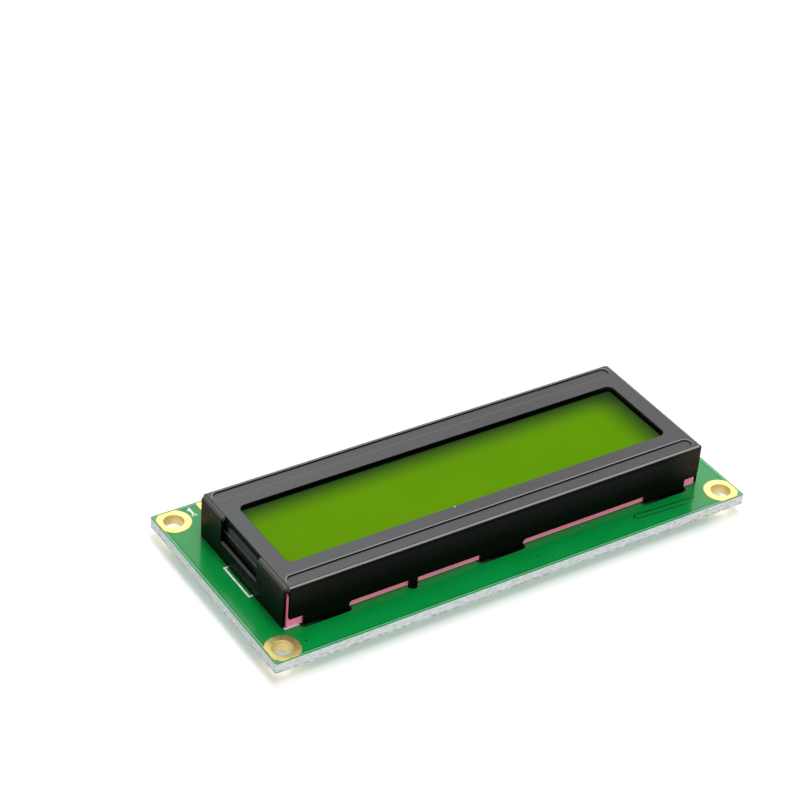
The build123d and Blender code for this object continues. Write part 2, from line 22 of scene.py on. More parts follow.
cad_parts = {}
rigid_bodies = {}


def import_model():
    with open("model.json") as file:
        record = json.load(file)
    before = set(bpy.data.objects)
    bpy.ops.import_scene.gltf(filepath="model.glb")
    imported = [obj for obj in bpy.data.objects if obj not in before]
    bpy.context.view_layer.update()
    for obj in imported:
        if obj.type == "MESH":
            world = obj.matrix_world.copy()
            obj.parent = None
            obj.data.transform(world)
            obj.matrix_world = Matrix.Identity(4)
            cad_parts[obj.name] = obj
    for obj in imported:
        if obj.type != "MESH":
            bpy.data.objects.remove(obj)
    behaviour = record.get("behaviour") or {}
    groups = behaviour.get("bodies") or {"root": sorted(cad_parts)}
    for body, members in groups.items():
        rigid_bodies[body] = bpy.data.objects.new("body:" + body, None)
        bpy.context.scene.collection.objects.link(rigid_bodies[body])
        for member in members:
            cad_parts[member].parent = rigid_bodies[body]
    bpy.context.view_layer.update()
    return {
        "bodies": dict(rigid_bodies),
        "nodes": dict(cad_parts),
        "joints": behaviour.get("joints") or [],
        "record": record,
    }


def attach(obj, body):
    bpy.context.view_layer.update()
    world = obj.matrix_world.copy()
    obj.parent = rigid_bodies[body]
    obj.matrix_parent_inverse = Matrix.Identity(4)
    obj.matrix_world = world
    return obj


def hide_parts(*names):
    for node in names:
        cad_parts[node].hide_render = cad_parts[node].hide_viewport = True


LOG = logging.getLogger("display_module")

Point = tuple[float, float]
Range = tuple[float, float]
Colour = tuple[float, float, float]
Place = tuple[float, float, float]
Box = tuple[float, float, float, float]
Route = Sequence[Point]
Inputs = dict[str | int, object]
Socket = bpy.types.NodeSocket
Looks = tuple[Socket, Socket, Socket]
Material = bpy.types.Material
Piece = bpy.types.Object

MM = 0.001
BOARD_HALF_LENGTH = 40.0
BOARD_HALF_WIDTH = 18.0
BOARD_BOTTOM = 1.65
BOARD_TOP = 3.25
COPPER = 0.05
BEZEL_TOP = 10.25
BEZEL_Y = -0.5
BEZEL_HALF_LENGTH = 35.6
BEZEL_HALF_DEPTH = 12.2
WINDOW_HALF_LENGTH = 32.25
WINDOW_HALF_DEPTH = 6.95
HEADER_COUNT = 16
HEADER_PITCH = 2.54
HEADER_X = -32.0
HEADER_Y = 15.9
MOUNTS: tuple[Point, ...] = ((-37.5, 15.5), (-37.5, -15.5), (37.5, -15.5), (37.5, 15.5))
LUG_COLUMNS = (-29.0, 0.0, 29.0)
LUG_ROWS = (-12.45, 11.45)
LEAD_ROW_Y = -0.6
JUMPERS: tuple[Point, ...] = tuple((29.4 + 2.38 * step, 5.5) for step in (-1, 0, 1))
CONTROLLER: Point = (-12.4, -0.3)
DRIVER: Point = (13.6, 0.8)
# How far print and copper reach below the face that they lie on
SUNK = -0.004
TINY = 1e-6
# Between which levels of the mottling a wide and a narrow patch fades in
WIDE: Range = (0.3, 0.7)
NARROW: Range = (0.35, 0.65)


class Face(Enum):
    """The two faces of the circuit board, with the level of each and the way out of it."""

    FRONT = (BOARD_TOP, 1.0)
    BACK = (BOARD_BOTTOM, -1.0)

    @property
    def level(self) -> float:
        """Height of the face in millimetres."""
        return self.value[0]

    @property
    def outward(self) -> float:
        """Plus one on the front, minus one on the back."""
        return self.value[1]

    def place(self, x: float, y: float, proud: float) -> Vector:
        """A point in metres that stands proud of this face."""
        return Vector((x, y, self.level + self.outward * proud)) * MM


class Graph:
    """Adds and joins the nodes of one node tree."""

    def __init__(self, tree: bpy.types.NodeTree) -> None:
        """Keeps the tree, emptied."""
        self.tree = tree
        self.tree.nodes.clear()

    def add(self, kind: str, inputs: Inputs | None = None, **settings: object) -> bpy.types.Node:
        """Adds a node.

        Args:
            kind: The node's type name.
            inputs: Values of its input sockets by name or number; a socket is linked instead.
            **settings: The node's own settings.

        Returns:
            The new node.
        """
        node = self.tree.nodes.new(kind)
        for name, value in settings.items():
            setattr(node, name, value)
        for name, value in (inputs or {}).items():
            if isinstance(value, Socket):
                self.tree.links.new(value, node.inputs[name])
            else:
                node.inputs[name].default_value = value
        return node

    def math(self, operation: str, first: object, second: object = 0.0, third: object = 0.0) -> Socket:
        """Adds a Math node.

        Args:
            operation: The node's operation.
            first: First value or socket.
            second: Second value or socket.
            third: Third value or socket.

        Returns:
            The node's output.
        """
        node = self.add("ShaderNodeMath", {0: first, 1: second, 2: third}, operation=operation)
        return node.outputs[0]

    def plus(self, first: object, second: object) -> Socket:
        """Adds two values."""
        return self.math("ADD", first, second)

    def minus(self, first: object, second: object) -> Socket:
        """Takes the second value from the first."""
        return self.math("SUBTRACT", first, second)

    def times(self, first: object, second: object) -> Socket:
        """Multiplies two values."""
        return self.math("MULTIPLY", first, second)

    def coordinates(self, kind: str = "Object") -> Socket:
        """The object's own coordinates, or its normal."""
        return self.add("ShaderNodeTexCoord").outputs[kind]

    def axes(self, kind: str = "Object") -> tuple[Socket, Socket, Socket]:
        """The three parts of the object's own coordinates, or of its normal."""
        return tuple(self.add("ShaderNodeSeparateXYZ", {0: self.coordinates(kind)}).outputs)

    def ramp(self, value: object, low: float, high: float, start: float = 0.0, end: float = 1.0) -> Socket:
        """Maps a value from one range to another, smoothly.

        Args:
            value: The value's socket.
            low: Where the range begins.
            high: Where the range ends.
            start: Result at the beginning.
            end: Result at the end.

        Returns:
            The mapped value's socket.
        """
        inputs = {"Value": value, "From Min": low, "From Max": high, "To Min": start, "To Max": end}
        node = self.add("ShaderNodeMapRange", inputs, interpolation_type="SMOOTHSTEP", clamp=True)
        return node.outputs[0]

    def span(self, value: object, low: float, high: float, start: float = 0.0, end: float = 1.0) -> Socket:
        """Maps a length, with its range in millimetres, as a ramp does."""
        return self.ramp(value, low * MM, high * MM, start, end)

    def band(self, value: object, low: float, high: float, soft: float) -> Socket:
        """One between two values and nothing outside them.

        Args:
            value: The value's socket.
            low: Where the band begins.
            high: Where the band ends.
            soft: How far it fades at either side.

        Returns:
            The band's socket.
        """
        return self.times(self.ramp(value, low - soft, low), self.ramp(value, high, high + soft, 1.0, 0.0))

    def stripe(self, value: object, low: float, high: float, soft: float) -> Socket:
        """A band of a length, in millimetres."""
        return self.band(value, low * MM, high * MM, soft * MM)

    def blend(self, factor: object, first: object, second: object) -> Socket:
        """Mixes two colours.

        Args:
            factor: Share of the second colour.
            first: First colour or socket.
            second: Second colour or socket.

        Returns:
            The mixed colour's socket.
        """
        node = self.add("ShaderNodeMix", {0: factor}, data_type="RGBA")
        for index, value in ((6, first), (7, second)):
            if isinstance(value, Socket):
                self.tree.links.new(value, node.inputs[index])
            else:
                node.inputs[index].default_value = (*value, 1.0)
        return node.outputs[2]


def mottle_group() -> bpy.types.NodeTree:
    """Gives the shared group of a coarse and a fine mottling in the object's own coordinates.

    Returns:
        The node group, built on the first call, with two scales in and two masks out.
    """
    name = "surface_mottle"
    if name in bpy.data.node_groups:
        return bpy.data.node_groups[name]
    tree = bpy.data.node_groups.new(name, "ShaderNodeTree")
    graph = Graph(tree)
    layers = (("Coarse", 200.0, 3.0), ("Fine", 1500.0, 2.0))
    for layer, scale, _ in layers:
        socket = tree.interface.new_socket(f"{layer} Scale", in_out="INPUT", socket_type="NodeSocketFloat")
        socket.default_value = scale
        tree.interface.new_socket(layer, in_out="OUTPUT", socket_type="NodeSocketFloat")
    entry = graph.add("NodeGroupInput")
    place = graph.coordinates()
    leave = graph.add("NodeGroupOutput")
    for layer, _, detail in layers:
        scale = entry.outputs[f"{layer} Scale"]
        inputs = {"Vector": place, "Scale": scale, "Detail": detail, "Roughness": 0.55}
        noise = graph.add("ShaderNodeTexNoise", inputs)
        tree.links.new(noise.outputs[0], leave.inputs[layer])
    return tree


class Stock:
    """One material under construction: its graph, its shader and its mottling."""

    def __init__(self, name: str, coarse: float, fine: float) -> None:
        """Begins the material.

        Args:
            name: The material's name.
            coarse: Scale of the coarse mottling, per metre.
            fine: Scale of the fine mottling, per metre.
        """
        self.material = bpy.data.materials.new(name)
        self.material.use_nodes = True
        self.graph = Graph(self.material.node_tree)
        self.shader = self.graph.add("ShaderNodeBsdfPrincipled")
        self.graph.add("ShaderNodeOutputMaterial", {0: self.shader.outputs[0]})
        scales = {"Coarse Scale": coarse, "Fine Scale": fine}
        mottle = self.graph.add("ShaderNodeGroup", scales, node_tree=mottle_group())
        self.coarse, self.fine = mottle.outputs["Coarse"], mottle.outputs["Fine"]

    def patches(self, spread: Range = WIDE, most: float = 1.0) -> Socket:
        """Soft coarse patches, up to a share of colour."""
        return self.graph.ramp(self.coarse, *spread, 0.0, most)

    def grain(self, rough: Range) -> Socket:
        """A roughness that varies with the fine grain."""
        return self.graph.ramp(self.fine, *WIDE, *rough)


@dataclass(frozen=True, kw_only=True)
class Finish:
    """What every finish has: its mottling, a range of roughness, its shine and a fine bump."""

    name: str
    coarse: float = 180.0
    fine: float = 1500.0
    rough: Range = (0.4, 0.5)
    metallic: float = 0.0
    specular: float = 0.5
    bump: float = 0.1
    depth: float = 0.00002
    further: tuple[tuple[str, object], ...] = ()

    def make(self) -> Material:
        """Makes the material.

        Returns:
            The material.
        """
        stock = Stock(self.name, self.coarse, self.fine)
        inputs = stock.shader.inputs
        values = (("Metallic", self.metallic), ("Specular IOR Level", self.specular), *self.further)
        for name, value in values:
            inputs[name].default_value = value
        colour, rough, height = self.looks(stock)
        bump = {"Height": height, "Strength": self.bump, "Distance": self.depth}
        normal = stock.graph.add("ShaderNodeBump", bump).outputs[0]
        for name, socket in (("Base Color", colour), ("Roughness", rough), ("Normal", normal)):
            stock.graph.tree.links.new(socket, inputs[name])
        return stock.material

    def looks(self, stock: Stock) -> Looks:
        """The base colour, the roughness and the bump's height, which each kind of finish gives."""
        raise NotImplementedError


@dataclass(frozen=True, kw_only=True)
class Plain(Finish):
    """Two mixed colours, with another pair, a painted-light copy, on faces that look back where it is given.
    """

    base: Colour
    other: Colour
    behind: tuple[Colour, Colour] | None = None

    def looks(self, stock: Stock) -> Looks:
        """Mixes the colours.

        Args:
            stock: The material under construction.

        Returns:
            The base colour, the roughness and the bump's height.
        """
        graph = stock.graph
        share = stock.patches(NARROW)
        colour = graph.blend(share, self.base, self.other)
        if self.behind is not None:
            behind = graph.math("LESS_THAN", graph.axes("Normal")[2], -0.5)
            colour = graph.blend(behind, colour, graph.blend(share, *self.behind))
        return colour, stock.grain(self.rough), stock.fine


@dataclass(frozen=True, kw_only=True)
class SolderMask(Finish):
    """Glossy solder mask on the board's faces, and sawn laminate on its edges."""

    front: Colour
    back: Colour
    coarse: float = 95.0
    fine: float = 1400.0
    rough: Range = (0.13, 0.2)
    specular: float = 0.27
    bump: float = 0.22
    depth: float = 0.00003
    shade: Colour = (0.0, 0.04, 0.01)
    shade_share: float = 0.12
    glass: Colour = (0.84, 0.88, 0.88)
    strand: Colour = (0.6, 0.66, 0.66)
    torn: Colour = (0.3, 0.35, 0.35)
    skin: Colour = (0.8, 0.84, 0.82)
    sawn_rough: float = 0.7
    strand_scale: float = 2200.0
    stretch: Place = (0.5, 0.5, 1.5)
    # levels from the board's lower and upper face
    torn_band: Range = (0.16, 0.42)
    skin_band: Range = (-0.22, -0.1)
    weave: Range = (0.46, 0.5)
    weave_height: float = 0.05
    grain_height: float = 0.35
    strand_height: float = 3.0

    def looks(self, stock: Stock) -> Looks:
        """Parts the faces from the sawn edges.

        Args:
            stock: The material under construction.

        Returns:
            The base colour, the roughness and the bump's height.
        """
        graph = stock.graph
        x, y, z = graph.axes()
        up = graph.axes("Normal")[2]
        flat = graph.math("GREATER_THAN", graph.math("ABSOLUTE", up), 0.5)
        cut = graph.minus(1.0, flat)
        # the front and back colours are one mask lit differently: their difference is painted light
        side = graph.blend(graph.math("LESS_THAN", up, 0.0), self.front, self.back)
        masked = graph.blend(stock.patches(NARROW, self.shade_share), side, self.shade)
        strands = self.strands(graph)
        colour = graph.blend(flat, self.sawn(graph, strands, z), masked)
        rough = graph.plus(graph.times(flat, stock.grain(self.rough)), graph.times(cut, self.sawn_rough))
        # the glass cloth shows through the mask as a very low weave
        turns = [2 * math.pi / (pitch * MM) for pitch in self.weave]
        waves = [graph.math("SINE", graph.times(way, turn)) for way, turn in zip((x, y), turns)]
        weave = graph.times(graph.plus(*waves), self.weave_height)
        height = graph.plus(weave, graph.times(stock.fine, self.grain_height))
        height = graph.plus(height, graph.times(strands, graph.times(cut, self.strand_height)))
        return colour, rough, height

    def strands(self, graph: Graph) -> Socket:
        """The noise of the glass strands, drawn out along the edges.

        Args:
            graph: The material's graph.

        Returns:
            The noise's socket.
        """
        inputs = {0: graph.coordinates(), 1: self.stretch}
        drawn = graph.add("ShaderNodeVectorMath", inputs, operation="MULTIPLY").outputs[0]
        inputs = {"Vector": drawn, "Scale": self.strand_scale, "Detail": 4.0, "Roughness": 0.65}
        return graph.add("ShaderNodeTexNoise", inputs).outputs[0]

    def sawn(self, graph: Graph, strands: Socket, z: Socket) -> Socket:
        """The laminate's pale grey, with a torn dark line below and a smoother skin above.

        Args:
            graph: The material's graph.
            strands: The noise of the strands.
            z: The height's socket.

        Returns:
            The colour's socket.
        """
        colour = graph.blend(graph.ramp(strands, 0.42, 0.66), self.glass, self.strand)
        low = graph.span(z, *(BOARD_BOTTOM + level for level in self.torn_band), 1.0, 0.0)
        torn = graph.times(low, graph.ramp(strands, 0.42, 0.56, 0.0, 0.6))
        colour = graph.blend(torn, colour, self.torn)
        high = graph.span(z, *(BOARD_TOP + level for level in self.skin_band))
        return graph.blend(graph.times(high, 0.5), colour, self.skin)


@dataclass(frozen=True, kw_only=True)
class WhitePlastic(Finish):
    """White plastic with painted shade, near black, on its left end, which shows in the bezel's opening."""

    base: Colour
    other: Colour
    coarse: float = 150.0
    rough: Range = (0.45, 0.55)
    specular: float = 0.2
    left_end_shade: Colour = (0.006, 0.007, 0.007)

    def looks(self, stock: Stock) -> Looks:
        """Mixes the whites and paints shade, near black, on the faces that look to the left.

        Args:
            stock: The material under construction.

        Returns:
            The base colour, the roughness and the bump's height.
        """
        graph = stock.graph
        white = graph.blend(stock.patches(NARROW), self.base, self.other)
        # painted shade on the faces that look to the left
        end = graph.math("LESS_THAN", graph.axes("Normal")[0], -0.5)
        return graph.blend(end, white, self.left_end_shade), stock.grain(self.rough), stock.fine


@dataclass(frozen=True, kw_only=True)
class BezelCoat(Finish):
    """The bezel's satin black coat: a painted sheen of grey on its face, with painted highlight lines at
    beads, folds and cuts.
    """

    coarse: float = 70.0
    fine: float = 2600.0
    rough: Range = (0.26, 0.32)
    specular: float = 0.06
    bump: float = 0.12
    depth: float = 0.00001
    wall: tuple[Colour, Colour] = ((0.0011, 0.0012, 0.0011), (0.0018, 0.0018, 0.0016))
    # the next three are painted sheen on the walls: towards the ends, at the right end and in a band below
    # the fold
    end_sheen: Colour = (0.0085, 0.0068, 0.0048)
    right_end_sheen: Colour = (0.03, 0.031, 0.022)
    wall_sheen: Colour = (0.0065, 0.0072, 0.006)
    # the face's grey is painted sheen, lighter towards the left end; rim, fold, lip and seam are painted
    # highlights
    face: tuple[Colour, Colour] = ((0.105, 0.107, 0.11), (0.081, 0.081, 0.083))
    rubbed: Colour = (0.14, 0.14, 0.145)
    rim: Colour = (0.24, 0.238, 0.235)
    fold_highlight: Colour = (0.34, 0.325, 0.29)
    lip_highlight: Colour = (0.2, 0.2, 0.185)
    seam_highlight: Colour = (0.12, 0.125, 0.118)
    dust: Colour = (0.62, 0.62, 0.6)
    # where each painted sheen and highlight begins and ends, along the bezel and upwards
    end_sheen_run: Range = (26.0, BEZEL_HALF_LENGTH)
    end_sheen_rise: Range = (6.5, 9.4)
    right_sheen_run: Range = (28.0, 35.4)
    right_sheen_rise: Range = (4.5, 7.0)
    wall_sheen_rise: Range = (7.4, 8.0)
    face_sheen_run: Range = (-36.0, 16.0)
    seam_run: Range = (34.4, 34.6)
    seam_rise: Range = (4.2, 9.0)
    shine_run: Range = (-35.0, -34.6)
    bend: float = 0.8
    bead_y: float = 10.35
    bead_half_run: float = 33.35
    bead_radius: float = 0.95
    # place along, place across and size of each speck on the face
    specks: tuple[Place, ...] = (
        (-5.34, -7.62, 0.2),
        (-18.1, 10.2, 0.11),
        (-18.0, -11.0, 0.1),
        (10.1, -10.3, 0.12),
        (-27.4, -10.4, 0.13),
        (24.6, 9.9, 0.09),
    )

    def looks(self, stock: Stock) -> Looks:
        """Lays the face's painted sheen over the walls, then the painted highlight lines and the specks over
        both.

        Args:
            stock: The material under construction.

        Returns:
            The base colour, the roughness and the bump's height.
        """
        graph = stock.graph
        x, y, z = graph.axes()
        facing = graph.axes("Normal")
        along = graph.math("ABSOLUTE", x)
        middle = graph.minus(y, BEZEL_Y * MM)
        across = graph.math("ABSOLUTE", middle)
        wall = self.walls(stock, x, along, z)
        face = graph.ramp(facing[2], 0.93, 0.995)
        # painted sheen: the face is a lit grey over the black coat
        face_sheen = graph.blend(graph.span(x, *self.face_sheen_run), *self.face)
        face_sheen = graph.blend(stock.patches(most=0.1), face_sheen, self.rubbed)
        base = graph.blend(face, wall, face_sheen)
        # painted highlight round each bead
        base = graph.blend(graph.times(self.rim_highlights(graph, along, middle, across), face), base, self.rim)
        # a painted dark line and a painted highlight run along the fold
        folded = graph.math(
            "MAXIMUM",
            graph.minus(along, (BEZEL_HALF_LENGTH - self.bend) * MM),
            graph.minus(across, (BEZEL_HALF_DEPTH - self.bend) * MM),
        )
        top = graph.span(z, BEZEL_TOP - self.bend, BEZEL_TOP - self.bend + 0.1)
        base = graph.blend(graph.times(graph.span(folded, 0.0, 0.06), top), base, wall)
        fold_highlight_mask = graph.times(graph.stripe(folded, 0.2, 0.4, 0.1), top)
        shine = graph.span(x, *self.shine_run, 0.4, 0.9)
        base = graph.blend(graph.times(fold_highlight_mask, shine), base, self.fold_highlight)
        # painted highlights: the cut edges of the sheet and the open corners shine a little
        lip_highlight = graph.times(graph.band(facing[2], 0.62, 0.9, 0.08), graph.minus(1.0, top))
        base = graph.blend(graph.times(lip_highlight, 0.75), base, self.lip_highlight)
        corner = graph.band(graph.math("ABSOLUTE", facing[0]), 0.45, 0.85, 0.1)
        corner = graph.times(corner, graph.span(along, *self.seam_run))
        seam_highlight = graph.times(corner, graph.span(z, *self.seam_rise))
        base = graph.blend(graph.times(seam_highlight, 0.7), base, self.seam_highlight)
        return self.dusted(graph, base), stock.grain(self.rough), stock.fine

    def walls(self, stock: Stock, x: Socket, along: Socket, z: Socket) -> Socket:
        """The walls, nearly black, with painted sheen: brownish towards the ends, lighter at the right end
        and in a band below the fold.

        Args:
            stock: The material under construction.
            x: Place along the bezel.
            along: Distance from the bezel's middle, along it.
            z: Height.

        Returns:
            The colour's socket.
        """
        graph = stock.graph
        colour = graph.blend(stock.patches(), *self.wall)
        ends = graph.times(graph.span(along, *self.end_sheen_run), graph.span(z, *self.end_sheen_rise))
        colour = graph.blend(graph.times(ends, 0.8), colour, self.end_sheen)
        right = graph.times(graph.span(x, *self.right_sheen_run), graph.span(z, *self.right_sheen_rise))
        colour = graph.blend(graph.times(right, 0.8), colour, self.right_end_sheen)
        wall_sheen = graph.stripe(z, *self.wall_sheen_rise, 0.9)
        return graph.blend(graph.times(wall_sheen, 0.3), colour, self.wall_sheen)

    def rim_highlights(self, graph: Graph, along: Socket, middle: Socket, across: Socket) -> Socket:
        """The painted highlight round each bead, brightest on its rear side.

        Args:
            graph: The material's graph.
            along: Distance from the bezel's middle, along it.
            middle: Place across the bezel, from its middle.
            across: Distance from the bezel's middle, across it.

        Returns:
            The mask's socket.
        """
        beyond = graph.math("MAXIMUM", graph.minus(along, self.bead_half_run * MM), 0.0)
        aside = graph.minus(across, self.bead_y * MM)
        squares = graph.plus(graph.math("POWER", beyond, 2.0), graph.times(aside, aside))
        reach = graph.math("SQRT", squares)
        rim = graph.stripe(reach, self.bead_radius + 0.03, self.bead_radius + 0.2, 0.08)
        rearward = graph.minus(middle, graph.times(graph.math("SIGN", middle), self.bead_y * MM))
        return graph.times(rim, graph.span(rearward, -0.4, 0.4, 0.2, 0.9))

    def dusted(self, graph: Graph, colour: Socket) -> Socket:
        """The coat with a few pale specks on its face.

        Args:
            graph: The material's graph.
            colour: The coat's colour.

        Returns:
            The colour's socket.
        """
        coordinates = graph.coordinates()
        for x, y, size in self.specks:
            inputs = {0: coordinates, 1: (x * MM, y * MM, BEZEL_TOP * MM)}
            away = graph.add("ShaderNodeVectorMath", inputs, operation="DISTANCE").outputs["Value"]
            colour = graph.blend(graph.span(away, 0.55 * size, size, 0.9, 0.0), colour, self.dust)
        return colour


@dataclass(frozen=True, kw_only=True)
class DisplayFilm(Finish):
    """The yellow-green display, with painted shade along the window's rear and right edges."""

    coarse: float = 60.0
    fine: float = 900.0
    rough: Range = (0.34, 0.42)
    specular: float = 0.0
    bump: float = 0.04
    depth: float = 0.00001
    lit: tuple[Colour, Colour] = ((0.116, 0.286, 0.0042), (0.108, 0.272, 0.0038))
    shaded: Colour = (0.014, 0.034, 0.013)
    # painted shadow, nearly black, right at the window's rear and right edges
    edge_shadow: Colour = (0.0012, 0.0018, 0.0008)
    # distances from the window's edges
    rear_shade: Range = (-0.4, 5.4)
    right_shade: Range = (-0.6, 6.4)
    edge_shadow_band: Range = (0.4, 0.62)
    edge_shadow_corner: float = 0.9

    def looks(self, stock: Stock) -> Looks:
        """Paints shade on the film and a dark painted shadow at the window's rear and right edges.

        Args:
            stock: The material under construction.

        Returns:
            The base colour, the roughness and the bump's height.
        """
        graph = stock.graph
        x, y, _ = graph.axes()
        green = graph.blend(stock.patches(), *self.lit)
        # painted shade fading in from the rear and right edges, then the painted shadow at the edges
        # themselves
        rear = graph.minus((BEZEL_Y + WINDOW_HALF_DEPTH) * MM, y)
        right = graph.minus(WINDOW_HALF_LENGTH * MM, x)
        light = graph.times(graph.span(rear, *self.rear_shade), graph.span(right, *self.right_shade))
        shaded_film = graph.blend(graph.math("POWER", light, 0.85), self.shaded, green)
        nearest = graph.math("SMOOTH_MIN", rear, right, self.edge_shadow_corner * MM)
        colour = graph.blend(graph.span(nearest, *self.edge_shadow_band), self.edge_shadow, shaded_film)
        return colour, stock.grain(self.rough), stock.fine


@dataclass(frozen=True, kw_only=True)
class Elastomer(Finish):
    """The pink contact strips, paler along their foot, with a painted glow from a little emission."""

    coarse: float = 260.0
    fine: float = 1800.0
    rough: Range = (0.42, 0.56)
    specular: float = 0.35
    bump: float = 0.2
    depth: float = 0.00003
    further: tuple[tuple[str, object], ...] = (
        ("Subsurface Weight", 0.4),
        ("Subsurface Radius", (1.0, 0.45, 0.5)),
        ("Subsurface Scale", 0.0006),
        # painted glow: a little emission lights the strips, though they are no lamp
        ("Emission Color", (0.9, 0.2, 0.33, 1.0)),
        ("Emission Strength", 0.3),
    )
    pink: tuple[Colour, Colour] = ((1.0, 0.31, 0.48), (0.92, 0.26, 0.41))
    foot: Colour = (0.85, 0.74, 0.74)
    foot_rise: Range = (0.06, 0.2)

    def looks(self, stock: Stock) -> Looks:
        """Mixes the pinks and pales the foot.

        Args:
            stock: The material under construction.

        Returns:
            The base colour, the roughness and the bump's height.
        """
        graph = stock.graph
        foot = graph.span(graph.axes()[2], *(BOARD_TOP + rise for rise in self.foot_rise), 1.0, 0.0)
        pink = graph.blend(stock.patches(NARROW), *self.pink)
        return graph.blend(graph.times(foot, 0.8), pink, self.foot), stock.grain(self.rough), stock.fine


@dataclass(frozen=True, kw_only=True)
class GlobResin(Finish):
    """The glob tops' matt black resin, with a few pale specks."""

    coarse: float = 240.0
    fine: float = 2400.0
    rough: Range = (0.46, 0.6)
    specular: float = 0.38
    bump: float = 0.35
    depth: float = 0.00003
    black: tuple[Colour, Colour] = ((0.0105, 0.0105, 0.012), (0.016, 0.016, 0.018))
    speck: Colour = (0.22, 0.22, 0.22)
    speck_scale: float = 900.0
    speck_size: Range = (0.05, 0.12)

    def looks(self, stock: Stock) -> Looks:
        """Mixes the blacks and strews the specks.

        Args:
            stock: The material under construction.

        Returns:
            The base colour, the roughness and the bump's height.
        """
        graph = stock.graph
        cells = graph.add("ShaderNodeTexVoronoi", {"Vector": graph.coordinates(), "Scale": self.speck_scale})
        dots = graph.ramp(cells.outputs["Distance"], *self.speck_size, 1.0, 0.0)
        specks = graph.times(dots, graph.ramp(stock.coarse, 0.6, 0.64))
        colour = graph.blend(specks, graph.blend(stock.patches(), *self.black), self.speck)
        return colour, stock.grain(self.rough), stock.fine


def plain(name: str, base: Colour, other: Colour, **looks: object) -> Plain:
    """A plain finish from its name, its two colours and what else it sets."""
    return Plain(name=name, base=base, other=other, **looks)


def mask(name: str, front: Colour, back: Colour) -> SolderMask:
    """Solder mask from its name and its colour on either face; the two colours differ by painted light."""
    return SolderMask(name=name, front=front, back=back)


# painted light: the gold on faces that look back is a paler, lit copy
GOLD_LIT_BEHIND = ((0.93, 0.79, 0.42), (0.84, 0.69, 0.34))
FINISHES: tuple[Finish, ...] = (
    plain("gold_plate", (0.63, 0.53, 0.205), (0.56, 0.46, 0.17), rough=(0.34, 0.44), metallic=1.0,
          coarse=300, bump=0.05, behind=GOLD_LIT_BEHIND),
    plain("gold_rim", (0.42, 0.29, 0.11), (0.55, 0.4, 0.16), metallic=0.9, coarse=900, bump=0.05),
    plain("barrel", (0.84, 0.7, 0.36), (0.72, 0.57, 0.27), rough=(0.45, 0.55), metallic=0.8, coarse=500,
          bump=0.05),
    plain("cell_glass", (0.006, 0.02, 0.017), (0.004, 0.014, 0.012), rough=(0.08, 0.14), specular=0.3,
          bump=0.02),
    plain("seal_resin", (0.017, 0.021, 0.021), (0.01, 0.013, 0.013), rough=(0.28, 0.4), specular=0.3,
          coarse=300, bump=0.2),
    plain("light_acrylic", (0.72, 0.82, 0.6), (0.66, 0.77, 0.54), rough=(0.12, 0.2), coarse=90),
    plain("lamp_laminate", (0.7, 0.7, 0.64), (0.6, 0.61, 0.56), rough=(0.35, 0.5), coarse=400),
    plain("lamp_resin", (0.74, 0.76, 0.3), (0.66, 0.69, 0.25), rough=(0.2, 0.3), coarse=400),
    plain("tinned_metal", (0.74, 0.69, 0.69), (0.56, 0.53, 0.54), rough=(0.24, 0.42), metallic=1.0,
          coarse=900, bump=0.3),
    plain("silicon", (0.15, 0.15, 0.18), (0.11, 0.11, 0.14), rough=(0.1, 0.2), metallic=0.6, coarse=600),
    plain("solder", (0.8, 0.8, 0.82), (0.52, 0.52, 0.55), rough=(0.16, 0.36), metallic=1.0, coarse=1500,
          bump=0.35),
    plain("alumina", (0.72, 0.71, 0.68), (0.62, 0.61, 0.58), rough=(0.5, 0.6), coarse=900),
    plain("overglaze", (0.014, 0.013, 0.013), (0.024, 0.022, 0.021), rough=(0.3, 0.42), coarse=1200,
          bump=0.2),
    plain("chip_print", (0.72, 0.72, 0.7), (0.6, 0.6, 0.58), rough=(0.5, 0.6), coarse=2000),
    plain("silk_print", (0.93, 0.95, 0.93), (0.82, 0.87, 0.84), rough=(0.5, 0.62), coarse=1600, bump=0.25),
    plain("via_hole", (0.004, 0.03, 0.014), (0.006, 0.045, 0.02), rough=(0.3, 0.45), coarse=900),
    plain("slot_wall", (0.008, 0.05, 0.024), (0.02, 0.03, 0.02), rough=(0.4, 0.55), specular=0.2,
          coarse=700),
    # each mask's front and back colours differ by painted light
    mask("solder_mask", (0.0016, 0.3, 0.052), (0.0035, 0.2, 0.064)),
    mask("mask_on_copper", (0.012, 0.34, 0.1), (0.022, 0.4, 0.175)),
    mask("mask_pour", (0.0055, 0.285, 0.072), (0.0075, 0.26, 0.1)),
    mask("mask_gap", (0.001, 0.09, 0.02), (0.003, 0.1, 0.04)),
    mask("mask_hollow", (0.0014, 0.2, 0.038), (0.003, 0.14, 0.05)),
    mask("mask_edge_highlight", (0.2, 0.6, 0.38), (0.14, 0.5, 0.33)),
    WhitePlastic(name="white_film", base=(0.82, 0.83, 0.8), other=(0.74, 0.76, 0.73)),
    BezelCoat(name="black_coat"),
    WhitePlastic(name="white_plastic", base=(0.8, 0.8, 0.77), other=(0.73, 0.73, 0.7)),
    DisplayFilm(name="display_film"),
    Elastomer(name="pink_elastomer"),
    GlobResin(name="glob_resin"),
)


class Paint:
    """Makes each material once and hands it out by name."""

    def __init__(self) -> None:
        """Makes every finish."""
        self.made = {finish.name: finish.make() for finish in FINISHES}

    def __getitem__(self, name: str) -> Material:
        """The material of that name."""
        return self.made[name]


